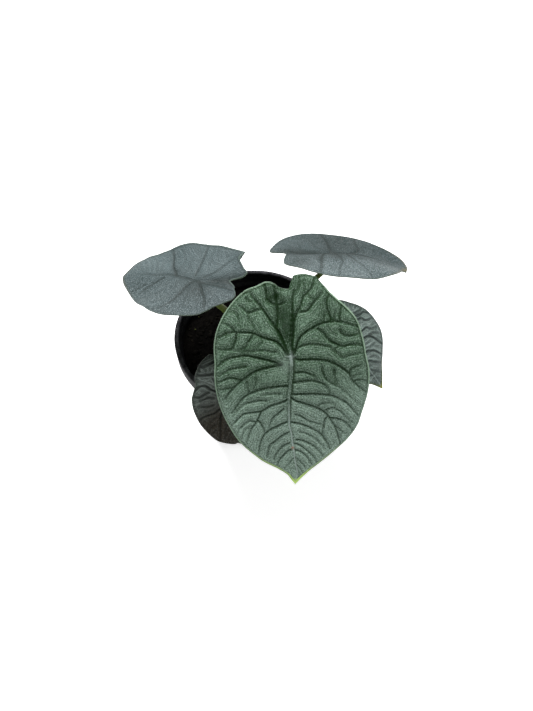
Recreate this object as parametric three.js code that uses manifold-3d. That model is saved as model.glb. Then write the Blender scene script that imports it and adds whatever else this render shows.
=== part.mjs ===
// Potted alocasia: a small aroid with five thick quilted leaves on arching stalks,
// growing from a short stem base in a round nursery pot of potting mix.
// Millimetres, +Z up. The origin is the centre of the pot's flat underside.
import * as THREE from "three";
import Module from "manifold-3d";

const wasm = await Module();
wasm.setup();

// Pot
const POT_HEIGHT = 90;
const RIM_RADIUS = 52.5;
const RIM_WIDTH = 3.0;
const LIP_HEIGHT = 12;
const BODY_TOP_RADIUS = 48.8;
const BASE_RADIUS = 37;
const WALL = 1.3;
const FLOOR = 1.6;
const POT_SIDES = 48;
const DRAIN_COUNT = 6;
const DRAIN_RADIUS = 4;
const DRAIN_CIRCLE = 26;

// Potting mix
const SOIL_LEVEL = 80.5;
const SOIL_SIDES = 44;
const SOIL_RINGS = 12;
const CLEARANCE = 0.3;
const CROWN_HOLE_RADIUS = 9;
const CROWN_HOLE_FLOOR = 50;

// Stem base and leaf stalks
const CROWN_TOP = 81.9;
const STALK_CIRCLE = 5.8;
const STALK_SIDES = 10;
const STALK_STEPS = 13;

// Leaf blades
const BLADE = 1.0;
const COSTA_ANGLE = 150;
const PUFF = 1.15;

// The ribs of a half leaf: the place where each leaves the axis, which runs from 1 at the
// tip through 0 at the stalk to -1 at the end of the basal lobe, and the polar angle in
// degrees, from the tip and round the stalk, at which it meets the margin. The last one is
// the main rib of the basal lobe. A leaf may have angles of its own for either half.
const RIB_PLACES = [1, 0.86, 0.75, 0.63, 0.49, 0.31, 0.14, 0.03, 0, -0.07, -0.3, -0.56, -0.8, -1];
const RIB_ANGLES = [0, 5, 11, 19, 28, 43, 56, 68, 86, 108, 127, 145, 158, 168];

const rad = THREE.MathUtils.degToRad;

function smooth(low, high, value) {
  const t = THREE.MathUtils.clamp((value - low) / (high - low), 0, 1);
  return t * t * (3 - 2 * t);
}

// A repeatable random number between 0 and 1 for two whole numbers.
function noise(a, b) {
  const s = Math.sin(a * 127.1 + b * 311.7) * 43758.5453;
  return s - Math.floor(s);
}

// Collects triangles over shared corners and gives one closed geometry.
class Surface {
  constructor() {
    this.points = [];
    this.index = [];
    this.known = new Map();
  }

  corner(p) {
    const key = `${Math.round(p.x * 2000)},${Math.round(p.y * 2000)},${Math.round(p.z * 2000)}`;
    if (!this.known.has(key)) {
      this.known.set(key, this.points.length / 3);
      this.points.push(p.x, p.y, p.z);
    }
    return this.known.get(key);
  }

  triangle(a, b, c) {
    const i = this.corner(a);
    const j = this.corner(b);
    const k = this.corner(c);
    if (i !== j && j !== k && k !== i) {
      this.index.push(i, j, k);
    }
  }

  quad(a, b, c, d) {
    this.triangle(a, b, c);
    this.triangle(a, c, d);
  }

  geometry() {
    const shape = new THREE.BufferGeometry();
    shape.setAttribute("position", new THREE.Float32BufferAttribute(this.points, 3));
    shape.setIndex(this.index);
    shape.computeVertexNormals();
    return shape;
  }
}

// A body of rings round the Z axis. Each row is [radius, height]; the first and the last
// lie on the axis. move shifts a ring's corner, given its row and its place in the ring.
function ringBody(rows, sides, move = (p) => p) {
  const surface = new Surface();
  const at = (row, k) => {
    const turn = (2 * Math.PI * (k % sides)) / sides;
    const [radius, height] = rows[row];
    const p = new THREE.Vector3(radius * Math.cos(turn), radius * Math.sin(turn), height);
    return radius > 0 ? move(p, row, k % sides) : p;
  };
  for (let row = 0; row + 1 < rows.length; row += 1) {
    for (let k = 0; k < sides; k += 1) {
      surface.quad(at(row, k), at(row, k + 1), at(row + 1, k + 1), at(row + 1, k));
    }
  }
  return surface.geometry();
}

function toSolid(shape) {
  return new wasm.Manifold(new wasm.Mesh({
    numProp: 3,
    vertProperties: Float32Array.from(shape.getAttribute("position").array),
    triVerts: Uint32Array.from(shape.getIndex().array),
  }));
}

function toGeometry(solid) {
  const mesh = solid.getMesh();
  const shape = new THREE.BufferGeometry();
  shape.setAttribute("position", new THREE.BufferAttribute(mesh.vertProperties, 3));
  shape.setIndex(new THREE.BufferAttribute(mesh.triVerts, 1));
  shape.computeVertexNormals();
  return shape;
}

function bodyRadius(height) {
  return THREE.MathUtils.mapLinear(height, 0, POT_HEIGHT - LIP_HEIGHT, BASE_RADIUS, BODY_TOP_RADIUS);
}

// The pot: a tapered thin wall with a flat floor, and a stepped-out lip band under a rolled rim.
function potGeometry() {
  const lip = POT_HEIGHT - LIP_HEIGHT;
  const outer = [
    [0, 0],
    [BASE_RADIUS - 1.5, 0],
    [bodyRadius(1.5), 1.5],
    [bodyRadius(lip - 1.2), lip - 1.2],
    [RIM_RADIUS - 1.2, lip],
    [RIM_RADIUS - 0.6, lip + 0.7],
    [RIM_RADIUS, POT_HEIGHT - 1.1],
    [RIM_RADIUS - 0.4, POT_HEIGHT - 0.3],
    [RIM_RADIUS - 1.1, POT_HEIGHT],
    [RIM_RADIUS - RIM_WIDTH + 0.8, POT_HEIGHT],
    [RIM_RADIUS - RIM_WIDTH, POT_HEIGHT - 0.9],
    [RIM_RADIUS - RIM_WIDTH + 0.7, POT_HEIGHT - 2.6],
    [RIM_RADIUS - 2.1, lip + 1.9],
    [bodyRadius(lip) - WALL, lip + 0.3],
    [bodyRadius(FLOOR) - WALL, FLOOR + 1.2],
    [bodyRadius(FLOOR) - WALL - 1.4, FLOOR],
    [0, FLOOR],
  ];
  let solid = toSolid(ringBody(outer, POT_SIDES));
  for (let k = 0; k < DRAIN_COUNT; k += 1) {
    const turn = (2 * Math.PI * (k + 0.5)) / DRAIN_COUNT;
    const plug = ringBody([[0, -1], [DRAIN_RADIUS, -1], [DRAIN_RADIUS, FLOOR + 1], [0, FLOOR + 1]], 16);
    plug.translate(DRAIN_CIRCLE * Math.cos(turn), DRAIN_CIRCLE * Math.sin(turn), 0);
    solid = solid.subtract(toSolid(plug));
  }
  return toGeometry(solid);
}

// The potting mix: it fills the pot to just under the rim, with a crumbly top, a low mound
// round the plant, and a plain hole in which the stem base stands.
function soilGeometry() {
  const edge = bodyRadius(SOIL_LEVEL - 3) - WALL - CLEARANCE;
  const low = FLOOR + CLEARANCE;
  const rows = [
    [0, low],
    [bodyRadius(low) - WALL - CLEARANCE - 1.6, low],
    [bodyRadius(low + 3) - WALL - CLEARANCE, low + 3],
    [edge, SOIL_LEVEL - 3],
  ];
  const top = rows.length;
  for (let ring = SOIL_RINGS; ring >= 0; ring -= 1) {
    const radius = THREE.MathUtils.lerp(CROWN_HOLE_RADIUS, edge, ring / SOIL_RINGS);
    rows.push([radius, SOIL_LEVEL]);
  }
  const last = rows.length - 1;
  rows.push([CROWN_HOLE_RADIUS, CROWN_HOLE_FLOOR], [0, CROWN_HOLE_FLOOR]);
  return ringBody(rows, SOIL_SIDES, (p, row, k) => {
    if (row < top || row > last) {
      return p;
    }
    const radius = Math.hypot(p.x, p.y);
    const crumb = 1.7 * (noise(row, k) - 0.5);
    const swell = 0.7 * Math.sin(p.x / 7 + 1) * Math.cos(p.y / 9 - 0.4);
    p.z += crumb + swell - 1.2 * smooth(20, edge, radius);
    if (row > top && row < last) {
      const turn = 0.5 * (noise(k, row + 40) - 0.5) * ((2 * Math.PI) / SOIL_SIDES);
      p.applyAxisAngle(new THREE.Vector3(0, 0, 1), turn);
    }
    return p;
  });
}

// The stem base: a short upright rootstock with rings left by old leaves.
function crownGeometry() {
  const rows = [
    [0, CROWN_HOLE_FLOOR + CLEARANCE],
    [4.5, CROWN_HOLE_FLOOR + CLEARANCE],
    [7.4, 54],
    [8.3, 60],
    [7.7, 63],
    [8.5, 67],
    [7.9, 70],
    [8.6, 74],
    [8.1, 77],
    [8.5, 79.6],
    [8.2, 81.2],
    [7.4, CROWN_TOP],
    [0, CROWN_TOP],
  ];
  return ringBody(rows, 18);
}

// The margin of one half leaf: radius in millimetres by polar angle in degrees.
class Margin {
  constructor(table) {
    this.angles = table.map((row) => row[0]);
    this.radii = table.map((row) => row[1]);
  }

  slope(k) {
    if (k === 0 || k === this.angles.length - 1) {
      return 0;
    }
    const before = (this.radii[k] - this.radii[k - 1]) / (this.angles[k] - this.angles[k - 1]);
    const after = (this.radii[k + 1] - this.radii[k]) / (this.angles[k + 1] - this.angles[k]);
    return before * after > 0 ? (2 * before * after) / (before + after) : 0;
  }

  radius(angle) {
    let k = 0;
    while (k < this.angles.length - 2 && angle > this.angles[k + 1]) {
      k += 1;
    }
    const width = this.angles[k + 1] - this.angles[k];
    const t = THREE.MathUtils.clamp((angle - this.angles[k]) / width, 0, 1);
    const from = k === 0 ? (this.radii[1] - this.radii[0]) / width : this.slope(k);
    const h00 = 2 * t ** 3 - 3 * t ** 2 + 1;
    const h10 = t ** 3 - 2 * t ** 2 + t;
    const h01 = -2 * t ** 3 + 3 * t ** 2;
    const h11 = t ** 3 - t ** 2;
    return h00 * this.radii[k] + h10 * width * from + h01 * this.radii[k + 1]
      + h11 * width * this.slope(k + 1);
  }

  point(angle) {
    const radius = this.radius(angle);
    return new THREE.Vector2(radius * Math.cos(rad(angle)), radius * Math.sin(rad(angle)));
  }
}

// One blade in its own frame: +X to the tip, +Y to the right half, +Z out of the upper face.
class Blade {
  constructor(leaf, cells, steps) {
    this.leaf = leaf;
    this.cells = cells;
    this.steps = steps;
    this.surface = new Surface();
  }

  // Height of the broad form over the blade's plane: arched along and across, with a sunken
  // valley from the stalk to the notch, a rippled margin, and swells of its own. The notch
  // lies notchTurn degrees to the right of straight back.
  broad(x, y) {
    const form = this.leaf.form;
    const across = y > 0 ? form.right : form.left;
    let z = -form.tip * (Math.max(x, 0) / form.length) ** 2;
    z -= form.lobe * (Math.min(x, 0) / (0.6 * form.length)) ** 2;
    z -= across * (y / form.width) ** 2;
    const radius = Math.hypot(x, y);
    const angle = Math.atan2(y, x);
    const back = Math.PI - rad(this.leaf.notchTurn);
    const fromNotch = THREE.MathUtils.radToDeg(Math.acos(Math.cos(angle - back)));
    z -= form.valley * Math.exp(-((fromNotch / 17) ** 2)) * smooth(0, 12, radius);
    const reach = radius / form.width;
    z += form.ripple * Math.min(reach, 1.3) ** 4 * Math.sin(form.waves * angle + form.phase);
    for (const [cx, cy, height, size] of this.leaf.swells) {
      z += height * Math.exp(-((x - cx) ** 2 + (y - cy) ** 2) / (size * size));
    }
    return z;
  }

  // How far the midrib sways to the right at a share of its length.
  sideways(place) {
    const table = this.leaf.sway;
    const k = Math.max(table.findIndex((row) => place <= row[0]), 1);
    const [[p0, w0], [p1, w1]] = [table[k - 1], table[k]];
    return THREE.MathUtils.lerp(w0, w1, smooth(p0, p1, place));
  }

  // A point of the axis: the midrib ahead of the stalk, the main rib of the lobe behind it.
  axis(place, margin, apex, side) {
    if (place >= 0) {
      return new THREE.Vector2(place * this.leaf.right.radius(0), this.sideways(place));
    }
    const end = margin.point(apex);
    const bend = new THREE.Vector2(Math.cos(rad(COSTA_ANGLE)), Math.sin(rad(COSTA_ANGLE)));
    bend.multiplyScalar(0.55 * end.length());
    const t = -place;
    const p = bend.multiplyScalar(2 * t * (1 - t)).addScaledVector(end, t * t);
    return new THREE.Vector2(p.x, side * p.y);
  }

  stations(angles) {
    const list = [];
    for (let k = 0; k + 1 < RIB_PLACES.length; k += 1) {
      for (let c = 0; c < this.cells; c += 1) {
        const f = c / this.cells;
        list.push({
          place: THREE.MathUtils.lerp(RIB_PLACES[k], RIB_PLACES[k + 1], f),
          angle: THREE.MathUtils.lerp(angles[k], angles[k + 1], f),
          puff: Math.sin(Math.PI * f) ** 0.8,
        });
      }
    }
    list.push({ place: -1, angle: angles[angles.length - 1], puff: 0 });
    return list;
  }

  // The points of one station, from the axis along the curve of a rib out to the margin.
  row(station, next, margin, apex, side) {
    const start = this.axis(station.place, margin, apex, side);
    const end = margin.point(station.angle);
    end.y *= side;
    const chord = end.clone().sub(start);
    const length = chord.length();
    const lean = side * rad(15) * smooth(0, 14, length);
    const bend = chord.clone().rotateAround(new THREE.Vector2(), lean).multiplyScalar(0.5).add(start);
    const wide = smooth(0, 10, Math.min(length, next));
    return this.steps.map((t) => {
      const p = start.clone().multiplyScalar((1 - t) ** 2);
      p.addScaledVector(bend, 2 * t * (1 - t)).addScaledVector(end, t * t);
      const body = smooth(0, 0.16, t) * (1 - smooth(0.8, 1, t));
      const relief = PUFF * station.puff * body * wide;
      return new THREE.Vector3(p.x, p.y, this.broad(p.x, p.y) + relief);
    });
  }

  // Adds a patch of rows to the upper face, and the same triangles lower down.
  patch(rows, side) {
    const under = (p) => new THREE.Vector3(p.x, p.y, p.z - BLADE);
    for (let i = 0; i + 1 < rows.length; i += 1) {
      for (let j = 0; j + 1 < rows[i].length; j += 1) {
        const q = [rows[i][j], rows[i][j + 1], rows[i + 1][j + 1], rows[i + 1][j]];
        const turned = side > 0 ? q : [q[0], q[3], q[2], q[1]];
        const [a, b, c, d] = turned.map(under);
        if (side > 0) {
          this.surface.quad(...turned);
          this.surface.triangle(c, b, a);
          this.surface.triangle(d, c, a);
        } else {
          this.surface.triangle(turned[0], turned[1], turned[2]);
          this.surface.triangle(turned[0], turned[2], turned[3]);
          this.surface.triangle(c, b, a);
          this.surface.triangle(d, c, a);
        }
      }
    }
  }

  rim(line, side) {
    const under = (p) => new THREE.Vector3(p.x, p.y, p.z - BLADE);
    for (let k = 0; k + 1 < line.length; k += 1) {
      const [p, q] = side > 0 ? [line[k], line[k + 1]] : [line[k + 1], line[k]];
      this.surface.quad(p, under(p), under(q), q);
    }
  }

  half(margin, angles, side) {
    const stations = this.stations(angles);
    const apex = angles[angles.length - 1];
    const rows = stations.map((station, k) => {
      const other = stations[Math.min(k + this.cells, stations.length - 1)];
      const gap = margin.point(station.angle).distanceTo(margin.point(other.angle));
      return this.row(station, 1.6 * gap, margin, apex, side);
    });
    this.patch(rows, side);
    const lobe = stations.filter((station) => station.place <= 0);
    const notch = margin.radius(180);
    const inner = lobe.map((station) => {
      const u = -station.place;
      const rib = this.axis(station.place, margin, apex, side);
      const middle = new THREE.Vector2(-u * notch, 0);
      const last = this.axis(-1, margin, apex, side);
      const bottom = new THREE.Vector2(-notch, 0);
      return [0, 0.2, 0.45, 0.75, 1].map((v) => {
        const p = rib.clone().lerp(middle, v);
        const edge = margin.point(apex + (180 - apex) * v);
        edge.y *= side;
        edge.sub(last.clone().lerp(bottom, v));
        p.addScaledVector(edge, u ** 3);
        return new THREE.Vector3(p.x, p.y, this.broad(p.x, p.y));
      });
    });
    this.patch(inner.map((row) => row.slice().reverse()), side);
    const line = rows.map((row) => row[row.length - 1]);
    this.rim([...line, ...inner[inner.length - 1].slice(1)], side);
  }

  geometry() {
    this.half(this.leaf.right, this.leaf.rightRibs ?? RIB_ANGLES, 1);
    this.half(this.leaf.left, this.leaf.leftRibs ?? RIB_ANGLES, -1);
    return this.surface.geometry();
  }
}

// The five leaves. attach is the top of the stalk, on the blade's upper face; facing is the
// compass turn and the tilt of that face, and toward is the rough direction of the tip.
const LEAVES = [
  {
    name: "front",
    attach: [21.7, -54.1, 150],
    facing: [-5, 42],
    toward: [0.04, -0.745, -0.665],
    fine: true,
    sway: [
      [0, 0], [0.09, 1.1], [0.22, -0.9], [0.33, -1.8], [0.52, -2.1], [0.61, -0.9], [0.77, 0.2],
      [0.9, 1.5], [1, 0],
    ],
    notchTurn: -8,
    right: new Margin([
      [0, 77.5], [3.5, 73], [9, 68.3], [20, 63.4], [34, 59.3], [42, 56.6], [50, 53.2],
      [65, 49.4], [78, 46.3], [91, 43.5], [104, 43.1], [117, 43.6], [138, 42.6], [145, 43.1],
      [154, 45.3], [162, 48], [168, 47.9], [172, 47.3], [176, 46.6], [178, 43], [180, 39.6],
    ]),
    left: new Margin([
      [0, 77.5], [1.5, 75], [3.6, 71.6], [9, 68.5], [16, 66.3], [23, 63.3], [32, 60], [42, 56.3],
      [53, 52.9], [63, 49.8], [76, 46.5], [87, 44.7], [102, 45.2], [127, 45.5], [147, 46],
      [157, 44.9], [167, 45], [171, 42], [174, 40.2], [180, 39.6],
    ]),
    rightRibs: [0, 5, 10.5, 17, 24, 36, 50, 64, 86, 111, 130, 149, 160, 168],
    leftRibs: [0, 5, 9, 14, 21, 41, 52, 62, 83, 106, 128, 149, 160, 168],
    form: {
      length: 80, width: 46, tip: 5, lobe: 4, right: 6, left: 6,
      valley: 2.6, ripple: 0.5, waves: 9, phase: 0.6,
    },
    swells: [[-43, -9, 1.8, 5], [-44, 10, -1.6, 9], [24, 20, 0.8, 12]],
    stalk: { turn: -66, base: 2.4, top: 1.9, rise: 0.5 },
    colour: 0x5d7a62,
  },
  {
    name: "upper_left",
    attach: [-34.9, 3.4, 145],
    facing: [250, 18],
    toward: [-0.88, 0.361, -0.3088],
    sway: [[0, 0], [0.18, -1.1], [0.28, -2.1], [0.4, -2.4], [0.55, -1.5], [1, 0]],
    notchTurn: -10,
    right: new Margin([
      [0, 57.4], [2, 56.7], [5.5, 54.7], [11, 50.7], [16.5, 47.2], [24, 43.5], [31.5, 40.8],
      [40, 38.2], [48, 35.8], [58, 34.2], [67, 32.7], [85, 31.2], [102, 30.7], [118, 30.1],
      [131, 28.5], [140, 28], [148, 29], [156, 30.4], [161, 31.1], [166, 30.7], [173, 28.8],
      [180, 26.2],
    ]),
    left: new Margin([
      [0, 57.4], [3, 56], [6, 54.8], [11, 52.9], [16, 49.6], [21, 46.9], [25, 43.5], [31, 40.1],
      [36, 37.2], [44, 34.2], [52, 31.9], [65, 29.3], [77, 27.3], [91, 26.4], [105, 27.3],
      [116, 28.8], [126, 31.3], [133, 33.6], [135.5, 34.6], [136.7, 32], [138.5, 29.5],
      [147, 30.1], [153, 30.9], [159, 32.5], [162, 31.3], [164.5, 28.9], [166.5, 23.5],
      [168.5, 21.8], [172, 23.1], [180, 26.2],
    ]),
    leftRibs: [0, 5, 11, 19, 28, 43, 56, 68, 86, 108, 125, 135.5, 150, 160],
    form: {
      length: 55, width: 30, tip: 6, lobe: 1, right: -4.5, left: -4.5,
      valley: 1.4, ripple: 0.5, waves: 7, phase: 2.1,
    },
    swells: [[-24, -22, 1.6, 6], [30, 8, -0.8, 12]],
    stalk: { turn: 174, base: 2.6, top: 2, rise: 0.5 },
    colour: 0x5c6c67,
  },
  {
    name: "upper_right",
    attach: [49, 24.7, 145],
    facing: [163, 25],
    toward: [0.991, 0, -0.135],
    sway: [[0, 0], [0.5, 1.5], [1, 0]],
    notchTurn: 0,
    right: new Margin([
      [0, 49], [4, 50.4], [7.5, 51], [11, 50.7], [15, 49.3], [18, 47], [21, 43.7], [26, 38.7],
      [30, 36.1], [35, 34], [41, 32.2], [48, 30], [56, 27.7], [64, 25.4], [75, 23.3], [87, 22.5],
      [95, 22.9], [104, 23.9], [114, 25.3], [123, 26.5], [133, 28.4], [142, 30.8], [150, 33.8],
      [156, 35.8], [162, 37.1], [168, 38.1], [173, 38.8], [177, 38.6], [179, 36], [180, 29.3],
    ]),
    left: new Margin([
      [0, 49], [2.5, 46], [8, 44.1], [14, 42.6], [19, 41.3], [25, 39.5], [34, 37], [44, 35.4],
      [55, 34.7], [63, 34.8], [71, 34], [80, 32.4], [89, 31.2], [99, 30.6], [109, 30.7],
      [120, 31.4], [132, 30.6], [140, 30.8], [146, 31.9], [151, 33.1], [156, 33.8], [160, 33.2],
      [165, 31.8], [171, 30.2], [176, 29.2], [180, 29.3],
    ]),
    form: {
      length: 50, width: 30, tip: 8, lobe: 2, right: -1.5, left: -1.5,
      valley: 1.2, ripple: 0.4, waves: 7, phase: 4.0,
    },
    swells: [[20, -15, 0.9, 10]],
    stalk: { turn: 58, base: 2.4, top: 1.7, rise: 0.5 },
    colour: 0x5f7069,
  },
  {
    name: "right",
    attach: [57.1, -20.1, 118],
    facing: [35, 42],
    toward: [0.58, -0.46, -0.67],
    sway: [[0, 0], [1, 0]],
    notchTurn: 0,
    right: new Margin([
      [0, 44], [3, 40.7], [8, 37.1], [16, 33.3], [27, 31], [37, 29], [46, 28], [62, 26.9],
      [72, 25.6], [81, 24.5], [92, 23.5], [102, 22.8], [115, 22.1], [128, 21.8], [139, 22.5],
      [150, 23.4], [168, 23.5], [174, 22], [180, 18],
    ]),
    left: new Margin([
      [0, 44], [4, 39], [7, 36.5], [12, 34.5], [20, 33], [35, 29.5], [50, 26.5], [65, 24.5],
      [80, 23], [95, 22], [125, 21.5], [150, 22.5], [160, 23.5], [168, 23.5], [174, 22],
      [180, 18],
    ]),
    form: {
      length: 45, width: 25, tip: 4, lobe: 3, right: 4, left: 4,
      valley: 1.2, ripple: 0.4, waves: 8, phase: 1.0,
    },
    swells: [],
    stalk: { turn: -4, base: 2.4, top: 1.6, rise: 0.5 },
    colour: 0x68756f,
  },
  {
    name: "lower_left",
    attach: [-11.2, -58.1, 108],
    facing: [15, 42],
    toward: [0.54, -0.57, -0.62],
    sway: [[0, 0], [0.5, 0.6], [1, 0]],
    notchTurn: 14,
    right: new Margin([
      [0, 40], [4, 37], [10, 34.5], [20, 32], [35, 29], [50, 27], [65, 25.5], [80, 24.5],
      [95, 24], [125, 24.5], [140, 26.5], [148, 28], [156, 28], [161, 26], [165, 23.5],
      [168, 24], [171, 28], [175, 30.5], [180, 30.5],
    ]),
    left: new Margin([
      [0, 40], [4, 36.5], [10, 32.5], [18, 29.5], [27, 28.6], [34, 29.5], [43, 29.2], [53, 29],
      [63, 28], [74, 27.1], [87, 26.5], [100, 26.1], [123, 26.1], [129, 25.6], [141, 25.2],
      [149, 26.7], [155, 28], [160, 28.5], [168, 29.6], [175, 30.2], [180, 30.5],
    ]),
    rightRibs: [0, 5, 11, 19, 28, 43, 56, 68, 86, 105, 120, 133, 144, 153],
    form: {
      length: 45, width: 28, tip: 4, lobe: 3, right: 4, left: 4,
      valley: 1.5, ripple: 0.4, waves: 8, phase: 3.0,
    },
    swells: [],
    stalk: { turn: -128, base: 2.4, top: 1.6, rise: 0.45 },
    colour: 0x3e4446,
  },
];

function faceNormal([turn, tilt]) {
  const a = rad(turn);
  const t = rad(tilt);
  return new THREE.Vector3(Math.sin(t) * Math.sin(a), -Math.sin(t) * Math.cos(a), Math.cos(t));
}

// A leaf stalk: a tapered round tube from the crown to the underside of its blade, where it
// arrives square to the blade.
function stalkGeometry(leaf) {
  const { turn, base, top, rise } = leaf.stalk;
  const normal = faceNormal(leaf.facing);
  const out = new THREE.Vector3(Math.cos(rad(turn)), Math.sin(rad(turn)), 0);
  const start = out.clone().multiplyScalar(STALK_CIRCLE).setZ(CROWN_TOP + CLEARANCE);
  const end = new THREE.Vector3(...leaf.attach).addScaledVector(normal, -(BLADE + CLEARANCE));
  const span = start.distanceTo(end);
  const lift = new THREE.Vector3(0.12 * out.x, 0.12 * out.y, 1).normalize();
  const curve = new THREE.CubicBezierCurve3(
    start,
    start.clone().addScaledVector(lift, rise * span),
    end.clone().addScaledVector(normal, -0.3 * span),
    end,
  );
  const frames = curve.computeFrenetFrames(STALK_STEPS, false);
  const rows = [];
  for (let k = 0; k <= STALK_STEPS; k += 1) {
    const t = k / STALK_STEPS;
    const flare = 0.25 * smooth(0.2, 0, t);
    const radius = THREE.MathUtils.lerp(base, top, smooth(0, 0.6, t)) * (1 + flare * 0.2);
    const middle = curve.getPointAt(t);
    const row = [];
    for (let s = 0; s < STALK_SIDES; s += 1) {
      const a = (2 * Math.PI * s) / STALK_SIDES;
      const p = middle.clone().addScaledVector(frames.normals[k], radius * Math.cos(a));
      row.push(p.addScaledVector(frames.binormals[k], radius * Math.sin(a)));
    }
    rows.push(row);
  }
  const surface = new Surface();
  for (let k = 0; k < STALK_STEPS; k += 1) {
    for (let s = 0; s < STALK_SIDES; s += 1) {
      const n = (s + 1) % STALK_SIDES;
      surface.quad(rows[k][s], rows[k][n], rows[k + 1][n], rows[k + 1][s]);
    }
  }
  for (let s = 0; s < STALK_SIDES; s += 1) {
    const n = (s + 1) % STALK_SIDES;
    surface.triangle(start, rows[0][n], rows[0][s]);
    surface.triangle(end, rows[STALK_STEPS][s], rows[STALK_STEPS][n]);
  }
  return surface.geometry();
}

const FINE_STEPS = [0, 0.05, 0.14, 0.28, 0.44, 0.6, 0.75, 0.88, 0.95, 1];
const PLAIN_STEPS = [0, 0.09, 0.25, 0.45, 0.65, 0.82, 0.93, 1];

function bladeMesh(leaf) {
  const shape = new Blade(leaf, leaf.fine ? 3 : 2, leaf.fine ? FINE_STEPS : PLAIN_STEPS).geometry();
  const mesh = new THREE.Mesh(shape, new THREE.MeshStandardMaterial({
    color: leaf.colour, roughness: 0.55, metalness: 0,
  }));
  mesh.name = `blade_${leaf.name}`;
  const normal = faceNormal(leaf.facing);
  const tip = new THREE.Vector3(...leaf.toward);
  tip.addScaledVector(normal, -tip.dot(normal)).normalize();
  const right = new THREE.Vector3().crossVectors(normal, tip);
  mesh.quaternion.setFromRotationMatrix(new THREE.Matrix4().makeBasis(tip, right, normal));
  mesh.position.set(...leaf.attach);
  return mesh;
}

function plainMesh(name, shape, color, roughness) {
  const mesh = new THREE.Mesh(shape, new THREE.MeshStandardMaterial({ color, roughness, metalness: 0 }));
  mesh.name = name;
  return mesh;
}

const plant = new THREE.Group();
plant.add(plainMesh("pot", potGeometry(), 0x17181b, 0.45));
plant.add(plainMesh("soil", soilGeometry(), 0x1b1613, 0.95));
plant.add(plainMesh("stem_base", crownGeometry(), 0x6f5f42, 0.8));
for (const leaf of LEAVES) {
  plant.add(plainMesh(`stalk_${leaf.name}`, stalkGeometry(leaf), 0x8c9152, 0.5));
  plant.add(bladeMesh(leaf));
}

export default plant;
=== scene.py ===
"""A potted alocasia: thick quilted leaves on arching stalks in a round nursery pot."""
import logging
import math
import random
from dataclasses import dataclass
from enum import Enum
from typing import Any, Callable, Sequence

import bmesh
import bpy
from mathutils import Matrix, Vector, kdtree, noise


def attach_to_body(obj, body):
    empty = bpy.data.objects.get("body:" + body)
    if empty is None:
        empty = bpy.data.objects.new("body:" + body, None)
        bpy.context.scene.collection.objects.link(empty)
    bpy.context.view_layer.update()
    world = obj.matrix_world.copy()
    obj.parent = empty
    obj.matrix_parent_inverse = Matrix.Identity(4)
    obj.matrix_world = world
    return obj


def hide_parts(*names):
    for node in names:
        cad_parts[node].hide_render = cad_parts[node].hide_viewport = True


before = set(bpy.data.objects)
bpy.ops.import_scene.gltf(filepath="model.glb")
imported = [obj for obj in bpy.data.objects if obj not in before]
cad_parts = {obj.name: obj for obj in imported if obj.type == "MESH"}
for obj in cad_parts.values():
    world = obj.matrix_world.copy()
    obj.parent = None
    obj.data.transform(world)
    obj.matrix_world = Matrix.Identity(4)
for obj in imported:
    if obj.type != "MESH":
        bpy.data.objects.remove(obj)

log = logging.getLogger("alocasia")

MM = 0.001
ROOT = "root"
Pair = tuple[float, float]
Triple = tuple[float, float, float]
Quad = tuple[float, float, float, float]
Colour = Triple

# Pot, potting mix and stem base, in millimetres, as in the solids.
POT_HEIGHT = 90.0
RIM_RADIUS = 52.5
RIM_WIDTH = 3.0
LIP_HEIGHT = 12.0
BODY_TOP_RADIUS = 48.8
BASE_RADIUS = 37.0
WALL = 1.3
FLOOR = 1.6
DRAIN_COUNT = 6
DRAIN_RADIUS = 4.0
DRAIN_CIRCLE = 26.0
SOIL_LEVEL = 80.5
SOIL_SHOULDER = 3.0
HOLE_RADIUS = 8.7
HOLE_FLOOR = 50.0
CROWN_TOP = 81.9
STALK_CIRCLE = 5.8
CLEARANCE = 0.3

# Leaf blades, in millimetres and degrees. Mesh rows run from RIB_PLACES on the axis to RIB_ANGLES on
# the margin. A place is a share of the midrib's length or, below 0, of the basal lobe's main rib.
BLADE = 1.0
COSTA_ANGLE = 150.0
PUFF = 1.15
RIB_PLACES = (1, 0.86, 0.75, 0.63, 0.49, 0.31, 0.14, 0.03, 0, -0.07, -0.3, -0.56, -0.8, -1)
RIB_ANGLES = (0, 5, 11, 19, 28, 43, 56, 68, 86, 108, 127, 145, 158, 168)


def smooth(low: float, high: float, value: float) -> float:
    """Eases from 0 at low to 1 at high.

    Args:
        low: The value that gives 0.
        high: The value that gives 1.
        value: The value to ease.

    Returns:
        A number between 0 and 1.
    """
    t = min(max((value - low) / (high - low), 0.0), 1.0)
    return t * t * (3.0 - 2.0 * t)


def lerp(a: float, b: float, t: float) -> float:
    """Returns the number t of the way from a to b."""
    return a + (b - a) * t


def polar(radius: float, degrees: float) -> Vector:
    """Returns a point of the blade's plane by radius and angle from the tip."""
    return Vector((radius * math.cos(math.radians(degrees)), radius * math.sin(math.radians(degrees))))


def bell(offset: float, width: float) -> float:
    """Returns 1 at no offset, falling smoothly to nothing well past the width."""
    return math.exp(-((offset / width) ** 2))


class Side(Enum):
    """The halves of a blade, seen from above with the tip towards the viewer."""

    RIGHT = 1
    LEFT = -1


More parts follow.
